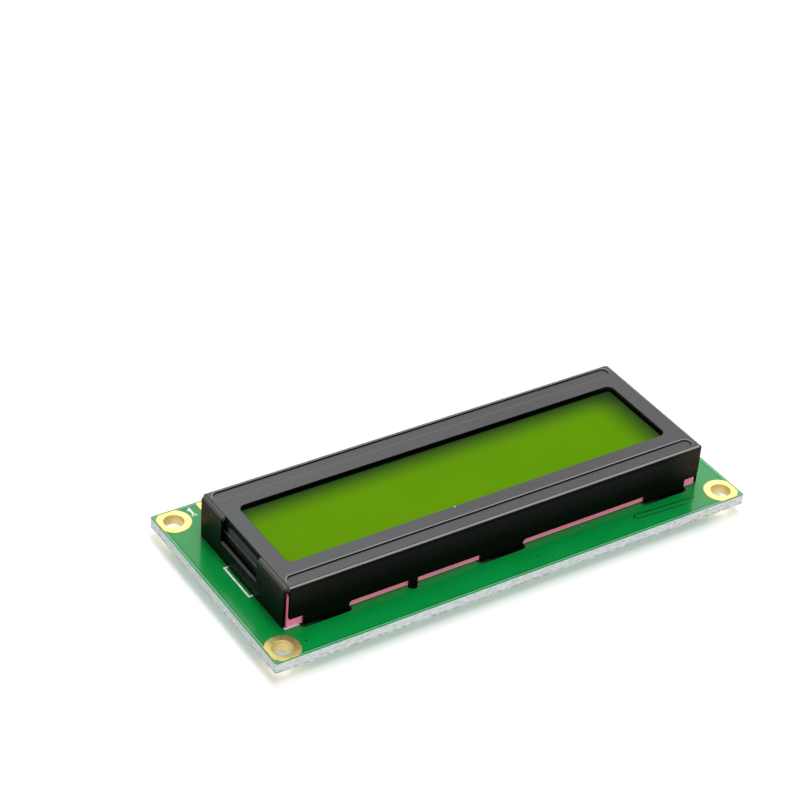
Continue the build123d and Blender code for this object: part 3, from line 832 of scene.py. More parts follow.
class Mesh:
    """A mesh under construction, in metres, with a material for each of its parts."""

    def __init__(self, name: str, paint: Paint, materials: Sequence[str]) -> None:
        """Begins an empty mesh.

        Args:
            name: Name of the object.
            paint: Where the materials come from.
            materials: Names of the materials, in the order of their indices.
        """
        self.name = name
        self.data = bmesh.new()
        self.paint = paint
        self.materials = list(materials)

    def skin(
        self,
        loops: Sequence[Sequence[Vector]],
        index: int = 0,
        caps: tuple[bool, bool] = (False, False),
    ) -> None:
        """Draws one loop of edges and extrudes it through the others, one after the other.

        Args:
            loops: Loops with the same number of points each.
            index: Material index of the faces.
            caps: Whether the first and the last loop are filled.
        """
        row = [self.data.verts.new(point) for point in loops[0]]
        edges = [self.data.edges.new(pair) for pair in zip(row, row[1:] + row[:1])]
        if caps[0]:
            self.cap(edges, index)
        for loop in loops[1:]:
            made = bmesh.ops.extrude_edge_only(self.data, edges=edges)["geom"]
            fresh = {item for item in made if isinstance(item, bmesh.types.BMVert)}
            row = [self.partner(vert, fresh) for vert in row]
            for vert, point in zip(row, loop):
                vert.co = point
            for face in made:
                if isinstance(face, bmesh.types.BMFace):
                    face.material_index = index
            drawn = (item for item in made if isinstance(item, bmesh.types.BMEdge))
            edges = [edge for edge in drawn if fresh.issuperset(edge.verts)]
        if caps[1]:
            self.cap(edges, index)

    @staticmethod
    def partner(vert: bmesh.types.BMVert, fresh: set[bmesh.types.BMVert]) -> bmesh.types.BMVert:
        """The extruded copy of a vertex."""
        return next(edge.other_vert(vert) for edge in vert.link_edges if edge.other_vert(vert) in fresh)

    def cap(self, edges: Sequence[bmesh.types.BMEdge], index: int) -> None:
        """Fills a closed loop of edges with faces of a material index."""
        for face in bmesh.ops.edgeloop_fill(self.data, edges=edges)["faces"]:
            face.material_index = index

    def finish(self, slot: str, replaces: Sequence[str] = (), smooth: float = 35.0) -> Piece:
        """Turns the mesh into an object that rides on the module.

        Args:
            slot: The record's material slot of the piece; not used.
            replaces: CAD nodes that this piece stands for.
            smooth: Angle in degrees under which edges are smooth.

        Returns:
            The object.
        """
        bmesh.ops.remove_doubles(self.data, verts=self.data.verts, dist=1e-8)
        bmesh.ops.recalc_face_normals(self.data, faces=self.data.faces)
        for face in self.data.faces:
            face.smooth = True
        for edge in self.data.edges:
            if len(edge.link_faces) == 2:
                edge.smooth = edge.calc_face_angle(math.pi) < math.radians(smooth)
        mesh = bpy.data.meshes.new(self.name)
        self.data.to_mesh(mesh)
        self.data.free()
        for name in self.materials:
            mesh.materials.append(self.paint[name])
        piece = bpy.data.objects.new(self.name, mesh)
        bpy.context.scene.collection.objects.link(piece)
        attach(piece, "root")
        if replaces:
            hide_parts(*replaces)
        return piece


def offset(points: Route, distance: float) -> list[Point]:
    """Moves a line of points sideways, with mitred corners.

    Args:
        points: The line's points.
        distance: How far to the left it moves.

    Returns:
        The moved points.
    """
    places = [Vector(point) for point in points]
    moved = []
    for index, place in enumerate(places):
        before = places[max(index - 1, 0)]
        after = places[min(index + 1, len(places) - 1)]
        sides = []
        for start, end in ((before, place), (place, after)):
            run = end - start
            if run.length > 1e-9:
                sides.append(Vector((-run.y, run.x)).normalized())
        middle = sum(sides, Vector((0.0, 0.0))).normalized()
        reach = distance / max(middle.dot(sides[0]), 0.35)
        moved.append(tuple(place + middle * reach))
    return moved


def arc(centre: Point, radius: float, start: float, end: float, steps: int) -> list[Point]:
    """Points on an arc.

    Args:
        centre: Centre of the arc.
        radius: Its radius.
        start: First angle in degrees.
        end: Last angle in degrees.
        steps: Number of runs between the points.

    Returns:
        The points, one more than the steps.
    """
    turns = [math.radians(start + (end - start) * step / steps) for step in range(steps + 1)]
    return [(centre[0] + radius * math.cos(turn), centre[1] + radius * math.sin(turn)) for turn in turns]


def circle(centre: Point, radius: float, sides: int) -> list[Point]:
    """The corners of a circle, each once."""
    return arc(centre, radius, 0, 360, sides)[:-1]


def numbered(name: str, count: int) -> list[str]:
    """Names of nodes that are numbered from one."""
    return [f"{name}_{number}" for number in range(1, count + 1)]


# Strokes of each figure in shares of its height, from its lower left corner
STROKES: dict[str, tuple[Route, ...]] = {
    "0": (
        ((0.15, 0), (0, 0.2), (0, 0.8), (0.15, 1), (0.45, 1), (0.6, 0.8), (0.6, 0.2), (0.45, 0), (0.15, 0)),
    ),
    "1": (
        ((0.1, 0.8), (0.3, 1), (0.3, 0)),
        ((0.1, 0), (0.5, 0)),
    ),
    "2": (
        ((0, 0.8), (0.15, 1), (0.45, 1), (0.6, 0.8), (0.6, 0.62), (0, 0), (0.6, 0)),
    ),
    "3": (
        ((0, 0.85), (0.15, 1), (0.45, 1), (0.6, 0.8), (0.6, 0.65), (0.42, 0.52), (0.2, 0.52)),
        ((0.42, 0.52), (0.6, 0.4), (0.6, 0.18), (0.45, 0), (0.15, 0), (0, 0.15)),
    ),
    "4": (
        ((0.45, 0), (0.45, 1), (0, 0.3), (0.62, 0.3)),
    ),
    "5": (
        ((0.58, 1), (0.05, 1), (0, 0.55), (0.4, 0.6), (0.6, 0.42), (0.6, 0.18), (0.42, 0), (0.12, 0),
         (0, 0.14)),
    ),
    "6": (
        ((0.5, 1), (0.2, 0.9), (0, 0.5), (0, 0.2), (0.15, 0), (0.45, 0), (0.6, 0.18), (0.6, 0.4),
         (0.45, 0.56), (0.12, 0.54), (0, 0.38)),
    ),
    "7": (
        ((0, 1), (0.6, 1), (0.22, 0)),
    ),
    "8": (
        ((0.15, 0.53), (0.02, 0.66), (0.02, 0.85), (0.15, 1), (0.45, 1), (0.58, 0.85), (0.58, 0.66),
         (0.45, 0.53), (0.15, 0.53)),
        ((0.15, 0.53), (0, 0.38), (0, 0.16), (0.15, 0), (0.45, 0), (0.6, 0.16), (0.6, 0.38), (0.45, 0.53)),
    ),
    "+": (
        ((0, 0.45), (0.7, 0.45)),
        ((0.35, 0.1), (0.35, 0.8)),
    ),
    "-": (
        ((0.05, 0.45), (0.65, 0.45)),
    ),
}


def text_strokes(
    text: str,
    centre: Point,
    height: float,
    advance: float,
    sense: float,
) -> Iterable[list[Point]]:
    """Lays out plain figures, one beside the other.

    Args:
        text: The figures.
        centre: Middle of the text in millimetres.
        height: Height of a figure.
        advance: Step from one figure to the next.
        sense: Plus one where they read along X, minus one where they read against it.

    Yields:
        The points of each stroke.
    """
    length = advance * (len(text) - 1) + 0.6 * height
    for place, figure in enumerate(text):
        shift = place * advance - length / 2
        for stroke in STROKES[figure]:
            across = [centre[0] + sense * (shift + u * height) for u, _ in stroke]
            up = [centre[1] + (v - 0.5) * height for _, v in stroke]
            yield list(zip(across, up))


class Ribbons(Mesh):
    """Lines of print or copper on one face of the board."""

    def __init__(self, name: str, paint: Paint, materials: Sequence[str], face: Face, height: float) -> None:
        """Begins the ribbons.

        Args:
            name: Name of the object.
            paint: Where the materials come from.
            materials: Names of the materials.
            face: The face of the board that they lie on.
            height: How far they stand proud, in millimetres.
        """
        super().__init__(name, paint, materials)
        self.face = face
        self.height = height

    def line(self, points: Route, width: float, closed: bool = False, index: int = 0) -> None:
        """Draws one line with a low rounded section.

        Args:
            points: The line's points in millimetres.
            width: Its width in millimetres.
            closed: Whether it returns to its first point.
            index: Material index.
        """
        if closed:
            route = [points[-1], *points, points[0]]
            left = offset(route, width / 2)[1:-1]
            right = offset(route, -width / 2)[1:-1]
            left.append(left[0])
            right.append(right[0])
        else:
            route = self.lengthened(points, width * 0.3)
            left = offset(route, width / 2)
            right = offset(route, -width / 2)
        section = ((0.0, SUNK), (0.14, self.height), (0.86, self.height), (1.0, SUNK))
        loops = []
        for near, far in zip(left, right):
            start = Vector(near)
            across = Vector(far) - start
            loops.append([self.face.place(*(start + across * share), proud) for share, proud in section])
        self.skin(loops, index=index, caps=(not closed, not closed))

    @staticmethod
    def lengthened(points: Route, amount: float) -> list[Point]:
        """Makes a line a little longer at both ends, as a round pen does.

        Args:
            points: The line's points.
            amount: Extra length at each end.

        Returns:
            The points with the two ends moved.
        """
        route = [Vector(point) for point in points]
        route[0] = route[0] - (route[1] - route[0]).normalized() * amount
        route[-1] = route[-1] + (route[-1] - route[-2]).normalized() * amount
        return [tuple(point) for point in route]

    def disc(
        self,
        centre: Point,
        radius: float,
        inner: float = 0.0,
        sides: int = 14,
        index: int = 0,
        lift: float = 0.0,
    ) -> None:
        """Draws a flat disc or ring.

        Args:
            centre: Its centre in millimetres.
            radius: Its outer radius.
            inner: Radius of the hole in it, or zero.
            sides: Number of sides.
            index: Material index.
            lift: Extra height in millimetres.
        """
        top = self.height + lift
        outlines = [(circle(centre, radius, sides), SUNK), (circle(centre, radius * 0.97, sides), top)]
        if inner > 0:
            hole = circle(centre, inner, sides)
            outlines += [(hole, top), (hole, SUNK)]
        loops = [[self.face.place(x, y, level) for x, y in outline] for outline, level in outlines]
        if inner > 0:
            self.skin([*loops, loops[0]], index=index)
        else:
            self.skin(loops, index=index, caps=(True, True))

    def area(self, outline: Route) -> None:
        """Draws a flat area inside an outline in millimetres."""
        loops = [[self.face.place(x, y, level) for x, y in outline] for level in (SUNK, self.height)]
        self.skin(loops, caps=(True, True))

    def edge_lines(self) -> None:
        """Draws a pale painted highlight line near the board's edges and the dark line inside it."""
        # the first line is a painted highlight, the second a dark line
        for inset, width, index in ((0.32, 0.15, 0), (0.62, 0.2, 1)):
            x, y = BOARD_HALF_LENGTH - inset, BOARD_HALF_WIDTH - inset
            self.line([(-x, -y), (x, -y), (x, y), (-x, y)], width, closed=True, index=index)

    def write(self, text: str, centre: Point, height: float, width: float) -> None:
        """Writes plain figures that read upright with the header edge up.

        Args:
            text: The figures.
            centre: Middle of the text in millimetres.
            height: Height of a figure.
            width: Width of a stroke.
        """
        for stroke in text_strokes(text, centre, height, 0.92 * height, self.face.outward):
            self.line(stroke, width)


@dataclass
class FrontFace:
    """Copper lines and print on the front of the board."""

    paint: Paint
    track_proud: float = 0.016
    hairpin: Route = ((32.9, -14.9), (22.4, -14.25), (21.9, -14.75), (22.4, -15.2), (31.2, -15.7))
    hairpin_width: float = 0.3
    dots: Route = ((-33.9, -15.6), (4.4, -15.4))
    dot_radius: float = 0.2
    # share of the tracks' height by which the dots are lower
    dot_drop: float = 0.75
    faint_x: float = 36.7
    faint_run: Range = (-8.0, 9.0)
    faint_pitch: float = 0.5
    faint_width: float = 0.14
    print_proud: float = 0.02
    pen: float = 0.34
    bracket: Route = ((-35.5, 3.0), (-36.2, 3.0), (-36.2, -4.0), (-35.5, -4.0))
    corner: Route = ((-35.2, -11.5), (-35.2, -12.25), (-33.2, -12.25))
    first_pin: Point = (-34.2, 16.3)
    figure_height: float = 1.6

    def build(self) -> list[Piece]:
        """Makes the copper and the print."""
        return [self.copper(), self.printing()]

    def copper(self) -> Piece:
        """Draws the edge lines, the hairpin track and the faint tracks.

        Returns:
            The piece.
        """
        materials = ["mask_edge_highlight", "mask_hollow", "mask_gap"]
        tracks = Ribbons("front_tracks", self.paint, materials, Face.FRONT, self.track_proud)
        tracks.edge_lines()
        tracks.line(self.hairpin, self.hairpin_width, index=2)
        for place in self.dots:
            tracks.disc(place, self.dot_radius, sides=16, index=2, lift=-self.dot_drop * self.track_proud)
        low, high = self.faint_run
        for step in range(3):
            x = self.faint_x + self.faint_pitch * step
            tracks.line([(x, low + step), (x, high - step)], self.faint_width, index=1)
        return tracks.finish("solder_mask")

    def printing(self) -> Piece:
        """Draws the bracket, the corner mark and the number of the first pin.

        Returns:
            The piece.
        """
        ink = Ribbons("front_print", self.paint, ["silk_print"], Face.FRONT, self.print_proud)
        ink.line(self.bracket, self.pen)
        ink.line(self.corner, self.pen)
        ink.write("1", self.first_pin, self.figure_height, self.pen)
        return ink.finish("white_film")


# Each row is a first track, the number of tracks beside it and the step to the next one
TRACKS: tuple[tuple[Route, int, float], ...] = (
    (((-36.6, 11.6), (-36.6, -12.8), (-34.0, -15.4), (18.6, -15.4), (20.4, -13.6)), 4, -0.5),
    (((-34.2, 12.6), (-34.2, -9.4), (-33.3, -10.3), (-25.2, -10.3), (-24.4, -11.1)), 2, 0.5),
    (((37.1, 5.6), (37.1, 11.2), (34.0, 14.3), (24.8, 14.9), (12.4, 14.9)), 3, -0.5),
    (((36.2, -4.4), (36.2, -9.8), (33.4, -13.4)), 2, 0.5),
    (((-25.0, -14.4), (-19.0, -14.4), (-18.0, -13.6), (16.4, -13.6), (18.4, -11.6)), 4, 0.46),
    # nested corners between the left glob top and the header
    (((-21.8, 0.6), (-21.8, 8.0), (-17.9, 11.9), (-7.0, 11.9), (-4.4, 10.6), (7.2, 10.6), (10.6, 7.2),
      (11.6, 5.0)), 13, 0.44),
    (((-26.6, 7.6), (-24.4, 9.8), (-24.4, 12.4), (-22.4, 14.2)), 5, -0.44),
    (((-24.6, 0.6), (-22.4, 0.6), (-20.6, -1.2), (-19.4, -1.2)), 4, -0.44),
    # between the two glob tops
    (((-6.6, 4.4), (-3.4, 4.4), (-1.0, 2.0), (6.2, 2.0), (8.4, 1.2)), 7, -0.44),
    (((-6.2, 0.4), (-3.6, 0.4), (-1.2, -2.0), (5.4, -2.0), (8.8, 0.0)), 8, -0.44),
    (((-7.4, -4.4), (-5.0, -6.2), (4.8, -6.2), (7.4, -4.2), (9.4, -2.6)), 5, 0.44),
    (((-1.6, 9.2), (0.6, 7.0), (6.4, 7.0), (8.8, 4.6)), 8, -0.44),
    # above the glob tops, seen with the far edge up
    (((-27.0, -9.2), (-24.6, -11.6), (-19.8, -11.6), (-17.0, -8.8), (-15.2, -6.6)), 9, 0.44),
    (((-13.0, -6.8), (-11.0, -9.4), (-11.0, -11.6), (-9.4, -12.8)), 7, 0.44),
    (((-6.4, -9.4), (-4.4, -7.4), (3.8, -7.4), (8.0, -6.6), (11.0, -4.4)), 3, -0.44),
    (((14.6, -4.2), (14.6, -6.2), (17.6, -9.2), (20.4, -9.2), (22.4, -11.2)), 8, 0.44),
    # round the right glob top
    (((25.4, -9.6), (23.2, -9.6), (21.2, -7.6), (21.2, -2.6), (19.4, -0.8), (18.4, -0.8)), 6, 0.44),
    (((18.6, 1.8), (21.4, 1.8), (22.8, 3.2), (22.8, 6.8), (24.6, 8.6)), 7, -0.44),
    (((16.0, 5.4), (18.2, 7.6), (22.4, 7.6), (23.6, 8.8)), 5, 0.44),
    (((25.6, 1.4), (24.2, 1.4), (23.4, 0.6), (23.4, -4.2)), 3, -0.44),
    # near the backlight's lands and beside the ladder
    (((35.0, 8.4), (35.0, -6.6)), 2, 0.5),
    (((-35.2, 14.4), (-35.2, 13.4), (-33.6, 11.8), (-33.6, 9.2), (-31.8, 7.4)), 3, -0.46),
    (((-27.8, 6.2), (-27.8, -8.2)), 1, 0.4),
    (((9.0, 13.9), (9.0, 10.0), (12.6, 6.4)), 6, -0.44),
)

# Outlines of the broad areas of copper under the mask
POURS: tuple[Route, ...] = (
    ((-1.0, -11.9), (13.0, -11.9), (14.2, -10.7), (14.2, -8.2), (-2.0, -8.2), (-2.0, -10.9)),
    ((21.5, -5.0), (24.6, -5.0), (24.6, -8.6), (22.8, -10.2), (22.8, -13.2), (20.4, -13.2), (20.4, -6.2)),
    ((17.0, 7.4), (24.2, 7.4), (24.2, 13.9), (23.4, 14.4), (14.2, 14.4), (14.2, 10.0)),
    ((34.2, -13.0), (39.2, -13.0), (39.2, -5.9), (35.2, -5.9), (34.2, -7.0)),
    ((34.8, 6.4), (39.2, 6.4), (39.2, 13.0), (34.8, 13.0)),
    ((-39.2, -12.8), (-34.2, -12.8), (-34.2, 12.8), (-39.2, 12.8)),
    ((-27.6, -12.6), (-25.6, -12.6), (-25.6, -9.4), (-27.6, -9.4)),
)

# Middle and number of the vias in each loose cluster, then the vias that stand alone
VIA_CLUSTERS = (
    (-19.4, 8.4, 9),
    (-8.0, 8.8, 8),
    (-16.0, -8.4, 8),
    (5.6, -1.4, 8),
    (20.6, 5.2, 7),
    (-6.0, 12.6, 6),
    (9.6, -8.8, 6),
)
LONE_VIAS: Route = (
    (-36.8, 9.3), (-35.4, 14.9), (-31.2, 10.2), (25.6, 16.0), (33.2, 16.2),
    (16.2, 15.8), (36.9, 1.9), (31.0, 9.6), (21.6, -16.4), (30.6, -16.6),
)

# Open lines of the back's print, then the frames that are closed
PRINT_LINES: tuple[Route, ...] = (
    ((-23.0, -7.7), (-24.8, -7.7), (-24.8, -2.5), (-23.0, -2.5)),
    ((-21.9, -7.7), (-20.1, -7.7), (-20.1, -2.5), (-21.9, -2.5)),
    ((-24.8, -5.3), (-24.0, -5.3)),
    ((-20.9, -5.3), (-20.1, -5.3)),
    ((19.2, 11.35), (16.75, 11.35), (16.75, 14.2), (19.2, 14.2)),
    ((20.6, 11.35), (22.95, 11.35), (22.95, 14.2), (20.6, 14.2)),
)
PRINT_FRAMES: tuple[Route, ...] = (
    ((26.45, -7.85), (32.8, -7.85), (32.8, -4.9), (26.45, -4.9)),
    ((26.35, -4.25), (32.75, -4.25), (32.75, -1.35), (26.35, -1.35)),
    ((30.75, 4.05), *arc((29.28, 4.05), 0.55, 0, -180, 8), (27.8, 4.05), (27.8, -0.95), (30.75, -0.95)),
)

# Each figure of the back's print with its place and height
FIGURES: tuple[tuple[str, float, float, float], ...] = (
    ("1", -26.6, -6.8, 1.35),
    ("2", -26.6, -4.4, 1.35),
    ("3", -26.6, -2.0, 1.35),
    ("4", -26.6, 0.4, 1.35),
    ("5", -26.6, 2.8, 1.35),
    ("7", -26.6, 5.1, 1.35),
    ("3", -22.4, -9.0, 1.35),
    ("6", -18.9, -1.7, 1.35),
    ("8", 25.0, 13.1, 1.35),
    ("2", 34.2, -6.4, 1.35),
    ("1", 34.0, -2.8, 1.35),
    ("3", 23.9, -0.3, 1.35),
    ("1", 34.1, 5.6, 1.3),
    ("2", 29.6, 7.55, 1.1),
    ("3", 24.9, 5.9, 1.3),
    ("+", 24.9, -6.6, 1.6),
    ("+", 24.9, -3.0, 1.6),
    ("-", 38.2, -6.9, 1.5),
    ("+", 38.3, 6.2, 1.5),
    ("1", -8.1, -7.7, 1.5),
    ("2", 17.2, -5.9, 1.5),
    ("1", -34.2, 16.2, 1.7),
    ("16", 8.9, 16.1, 1.6),
)


@dataclass
class Plan:
    """Where the back face has room for tracks, kept as small cells."""

    cell_size: float = 0.1
    lug_half_length: float = 4.35
    lug_spans: tuple[Range, ...] = ((-13.4, -8.9), (7.9, 12.4))
    discs: tuple[tuple[Point, float], ...] = (
        *((place, 3.0) for place in MOUNTS),
        ((-14.9, -12.45), 1.2),
        ((14.9, 11.45), 1.2),
        (CONTROLLER, 6.6),
        (DRIVER, 5.0),
        ((36.0, -1.915), 1.2),
        ((36.0, 0.715), 1.2),
    )
    # left, right, low and high edge of each land, frame and part
    boxes: tuple[Box, ...] = (
        (-33.4, 7.4, 14.85, 18.0),
        (-33.6, -28.2, -8.3, 6.5),
        (-25.1, -19.8, -8.0, -2.2),
        (16.4, 23.3, 11.0, 14.5),
        (26.0, 33.1, -8.2, -1.1),
        (25.4, 33.3, -1.1, 7.0),
        (37.2, 40.0, -6.0, -3.2),
        (37.2, 40.0, 2.0, 4.8),
        (38.4, 40.0, -3.2, 2.0),
    )
    track_limit: Point = (39.2, 17.2)
    via_limit: Point = (38.6, 16.9)
    via_reach: float = 0.4
    shortest_step: float = 0.05
    shortest_run: float = 1.2
    taken: set[tuple[int, int]] = field(default_factory=set)

    def __post_init__(self) -> None:
        """Marks every hole, land and part of the back as taken."""
        for x in LUG_COLUMNS:
            for low, high in self.lug_spans:
                self.box(x - self.lug_half_length, x + self.lug_half_length, low, high)
        for place, radius in self.discs:
            self.disc(place, radius)
        for box in self.boxes:
            self.box(*box)
        self.lands = set(self.taken)

    def cell(self, x: float, y: float) -> tuple[int, int]:
        """The cell that a place is in."""
        return round(x / self.cell_size), round(y / self.cell_size)

    def box(self, left: float, right: float, low: float, high: float) -> None:
        """Marks a rectangle as taken, from its four edges in millimetres."""
        first, last = self.cell(left, low), self.cell(right, high)
        self.taken |= {(u, v) for u in range(first[0], last[0] + 1) for v in range(first[1], last[1] + 1)}

    def disc(self, centre: Point, radius: float) -> None:
        """Marks a disc as taken.

        Args:
            centre: Its centre in millimetres.
            radius: Its radius.
        """
        middle = self.cell(*centre)
        reach = radius / self.cell_size
        span = range(-math.ceil(reach), math.ceil(reach) + 1)
        steps = [(u, v) for u in span for v in span if math.hypot(u, v) <= reach]
        self.taken |= {(middle[0] + u, middle[1] + v) for u, v in steps}

    def clear_of_lands(self, spot: Point) -> bool:
        """Tells whether a small via fits at a place without touching a land or the edge.

        Args:
            spot: The place in millimetres.

        Returns:
            True where it fits.
        """
        steps = (-self.via_reach, 0.0, self.via_reach)
        near = [self.cell(spot[0] + u, spot[1] + v) for u in steps for v in steps]
        inside = abs(spot[0]) < self.via_limit[0] and abs(spot[1]) < self.via_limit[1]
        return inside and self.lands.isdisjoint(near)

    def samples(self, route: Route) -> list[tuple[float, float, bool]]:
        """Divides a route into short steps.

        Args:
            route: Its points in millimetres.

        Returns:
            Places along it, each with whether it is one of the route's own points.
        """
        places = []
        for start, end in zip(route, route[1:]):
            steps = max(1, math.ceil(math.dist(start, end) / self.cell_size))
            for step in range(steps):
                share = step / steps
                x, y = (first + (last - first) * share for first, last in zip(start, end))
                places.append((x, y, step == 0))
        places.append((*route[-1], True))
        return places

    def free_runs(self, route: Route) -> list[list[Point]]:
        """Splits a route where something is in its way.

        Args:
            route: The route's points in millimetres.

        Returns:
            The free runs that are long enough to draw.
        """
        runs: list[list[Point]] = []
        current: list[Point] = []
        last: Point = (0.0, 0.0)
        outside = (*(2 * limit for limit in self.track_limit), True)
        for x, y, own in [*self.samples(route), outside]:
            inside = abs(x) < self.track_limit[0] and abs(y) < self.track_limit[1]
            if inside and self.cell(x, y) not in self.taken:
                if not current or own:
                    current.append((x, y))
                last = (x, y)
            elif current:
                if math.dist(last, current[-1]) > self.shortest_step:
                    current.append(last)
                if sum(math.dist(a, b) for a, b in zip(current, current[1:])) > self.shortest_run:
                    runs.append(current)
                current = []
        return runs

    def claim(self, route: Route, margin: float) -> None:
        """Marks a route as taken.

        Args:
            route: Its points in millimetres.
            margin: How far to each side.
        """
        reach = round(margin / self.cell_size)
        span = range(-reach, reach + 1)
        for x, y, _ in self.samples(route):
            middle = self.cell(x, y)
            self.taken |= {(middle[0] + u, middle[1] + v) for u in span for v in span}


@dataclass
class BackFace:
    """Copper, vias and print on the back of the board."""

    paint: Paint
    pour_proud: float = 0.012
    lip_proud: float = 0.014
    track_proud: float = 0.024
    via_proud: float = 0.026
    disc_proud: float = 0.03
    print_proud: float = 0.032
    track_pitch: float = 0.44
    track_width: float = 0.17
    track_margin: float = 0.2
    pin_track_width: float = 0.24
    # where the header's tracks begin and turn, how the turn varies, and where they go from it
    pin_start_y: float = 14.7
    pin_turn_y: float = 13.3
    pin_turn_step: float = 0.16
    pin_levels: Place = (0.4, -0.5, -1.6)
    pin_slants: Range = (-0.7, 0.9)
    via_chance: float = 0.22
    via_radius: float = 0.34
    via_bore: float = 0.15
    via_floor_margin: float = 0.02
    via_floor_drop: float = 0.006
    via_spacing: float = 0.8
    cluster_reach: Point = (2.6, 1.5)
    # how far vias keep from the middle of each glob top
    domes: tuple[tuple[Point, float], ...] = ((CONTROLLER, 7.2), (DRIVER, 5.6))
    pen: float = 0.22
    fine_pen: float = 0.2
    ladder: Box = (-33.3, -28.5, -8.0, 6.25)
    ladder_rungs: int = 6
    rung: float = 1.5
    jumper_ring: float = 1.22
    # middle, outer and inner radius of the white disc round each glob top
    crescents: tuple[tuple[Point, float, float], ...] = (((-12.85, 0.1), 6.72, 5.2), ((13.1, 1.1), 5.18, 3.9))
    dice: random.Random = field(default_factory=lambda: random.Random(41))
    plan: Plan = field(default_factory=Plan)
    vias: list[Point] = field(default_factory=list)

    def build(self) -> list[Piece]:
        """Makes every layer, from the copper up."""
        return [self.pours(), self.tracks(), self.edge_highlight_and_line(), self.rings(), self.printing(), self.discs()]

    def layer(self, name: str, materials: Sequence[str], proud: float) -> Ribbons:
        """Begins one layer of the back face."""
        return Ribbons(name, self.paint, materials, Face.BACK, proud)

    def pours(self) -> Piece:
        """Lays the broad areas of copper under the mask.

        Returns:
            The piece.
        """
        layer = self.layer("back_pours", ["mask_pour"], self.pour_proud)
        for outline in POURS:
            layer.area(outline)
        return layer.finish("solder_mask")

    def bundle(self, layer: Ribbons, route: Route, count: int, pitch: float, width: float) -> None:
        """Draws tracks side by side wherever the plan is free.

        Args:
            layer: Where the tracks go.
            route: Points of the first track.
            count: Number of tracks.
            pitch: Distance between two tracks, to the left where it is positive.
            width: Width of a track.
        """
        for number in range(count):
            runs = self.plan.free_runs(offset(route, number * pitch))
            for run in runs:
                layer.line(run, width)
                self.vias += [end for end in (run[0], run[-1]) if self.dice.random() < self.via_chance]
            for run in runs:
                self.plan.claim(run, self.track_margin)

    def tracks(self) -> Piece:
        """Draws the header's tracks, the runs round the edges and the fans between the glob tops.

        Returns:
            The piece.
        """
        layer = self.layer("back_tracks", ["mask_on_copper"], self.track_proud)
        for pin in range(HEADER_COUNT):
            x = HEADER_X + pin * HEADER_PITCH
            turn = self.pin_turn_y - self.pin_turn_step * (pin % 5)
            slant = x + self.pin_slants[pin % 2]
            near, middle, end = (turn + level for level in self.pin_levels)
            run = [(x, self.pin_start_y), (x, near), (slant, middle), (slant, end)]
            self.bundle(layer, run, 1, self.track_pitch, self.pin_track_width)
        for route, count, pitch in TRACKS:
            self.bundle(layer, route, count, pitch, self.track_width)
        return layer.finish("solder_mask")

    def edge_highlight_and_line(self) -> Piece:
        """Draws the painted highlight line and the dark line near the edges.

        Returns:
            The piece.
        """
        layer = self.layer("back_edge_lines", ["mask_edge_highlight", "mask_hollow"], self.lip_proud)
        layer.edge_lines()
        return layer.finish("solder_mask")

    def via_spots(self) -> list[Point]:
        """Picks the places of the small vias: track ends, loose clusters and a few that stand alone.

        Returns:
            The places, none too close to another.
        """
        spots = [spot for spot in self.vias if self.plan.clear_of_lands(spot)]
        for x, y, count in VIA_CLUSTERS:
            for _ in range(count):
                ways = zip((x, y), self.cluster_reach)
                spot = tuple(middle + self.dice.uniform(-reach, reach) for middle, reach in ways)
                if self.plan.clear_of_lands(spot):
                    spots.append(spot)
        spots += LONE_VIAS
        kept: list[Point] = []
        for spot in spots:
            crowded = any(math.dist(spot, other) < self.via_spacing for other in kept)
            covered = any(math.dist(spot, middle) < radius for middle, radius in self.domes)
            outside = any(abs(value) > limit for value, limit in zip(spot, self.plan.via_limit))
            if not (crowded or covered or outside):
                kept.append(spot)
        return kept

    def rings(self) -> Piece:
        """Drills the small vias.

        Returns:
            The piece.
        """
        layer = self.layer("back_vias", ["mask_on_copper", "via_hole"], self.via_proud)
        for spot in self.via_spots():
            layer.disc(spot, self.via_radius, inner=self.via_bore)
            radius = self.via_bore + self.via_floor_margin
            layer.disc(spot, radius, sides=10, index=1, lift=-self.via_floor_drop)
        return layer.finish("solder_mask")

    def printing(self) -> Piece:
        """Prints the frames and figures.

        Returns:
            The piece.
        """
        ink = self.layer("back_print", ["silk_print"], self.print_proud)
        left, right, low, high = self.ladder
        ink.line([(left, low), (right, low), (right, high), (left, high)], self.pen, closed=True)
        for row in range(1, self.ladder_rungs):
            y = low + (high - low) * row / self.ladder_rungs
            ink.line([(left, y), (left + self.rung, y)], self.pen)
            ink.line([(right - self.rung, y), (right, y)], self.pen)
        for route in PRINT_LINES:
            ink.line(route, self.pen)
        for route in PRINT_FRAMES:
            ink.line(route, self.pen, closed=True)
        for centre in JUMPERS:
            ink.line(circle(centre, self.jumper_ring, 36), self.fine_pen, closed=True)
        for text, x, y, height in FIGURES:
            ink.write(text, (x, y), height, self.fine_pen)
        return ink.finish("white_film")

    def discs(self) -> Piece:
        """Prints the white discs that show beside the glob tops as crescents.

        Returns:
            The piece.
        """
        ink = self.layer("blob_print", ["silk_print"], self.disc_proud)
        for centre, radius, inner in self.crescents:
            ink.disc(centre, radius, inner=inner, sides=96)
        return ink.finish("white_film")


@dataclass(frozen=True)
class RoundLand:
    """A round land that stops short of the board's edge."""

    radius: float
    centre: Point
    margin: float = 0.2

    def reach(self, turn: float) -> float:
        """How far the land reaches from its centre.

        Args:
            turn: The angle in radians.

        Returns:
            The reach in millimetres.
        """
        limits = [self.radius]
        halves = (BOARD_HALF_LENGTH, BOARD_HALF_WIDTH)
        for way, place, half in zip((math.cos(turn), math.sin(turn)), self.centre, halves):
            if abs(way) > TINY and way * place > 0:
                limits.append((half - self.margin - abs(place)) / abs(way))
        return min(limits)


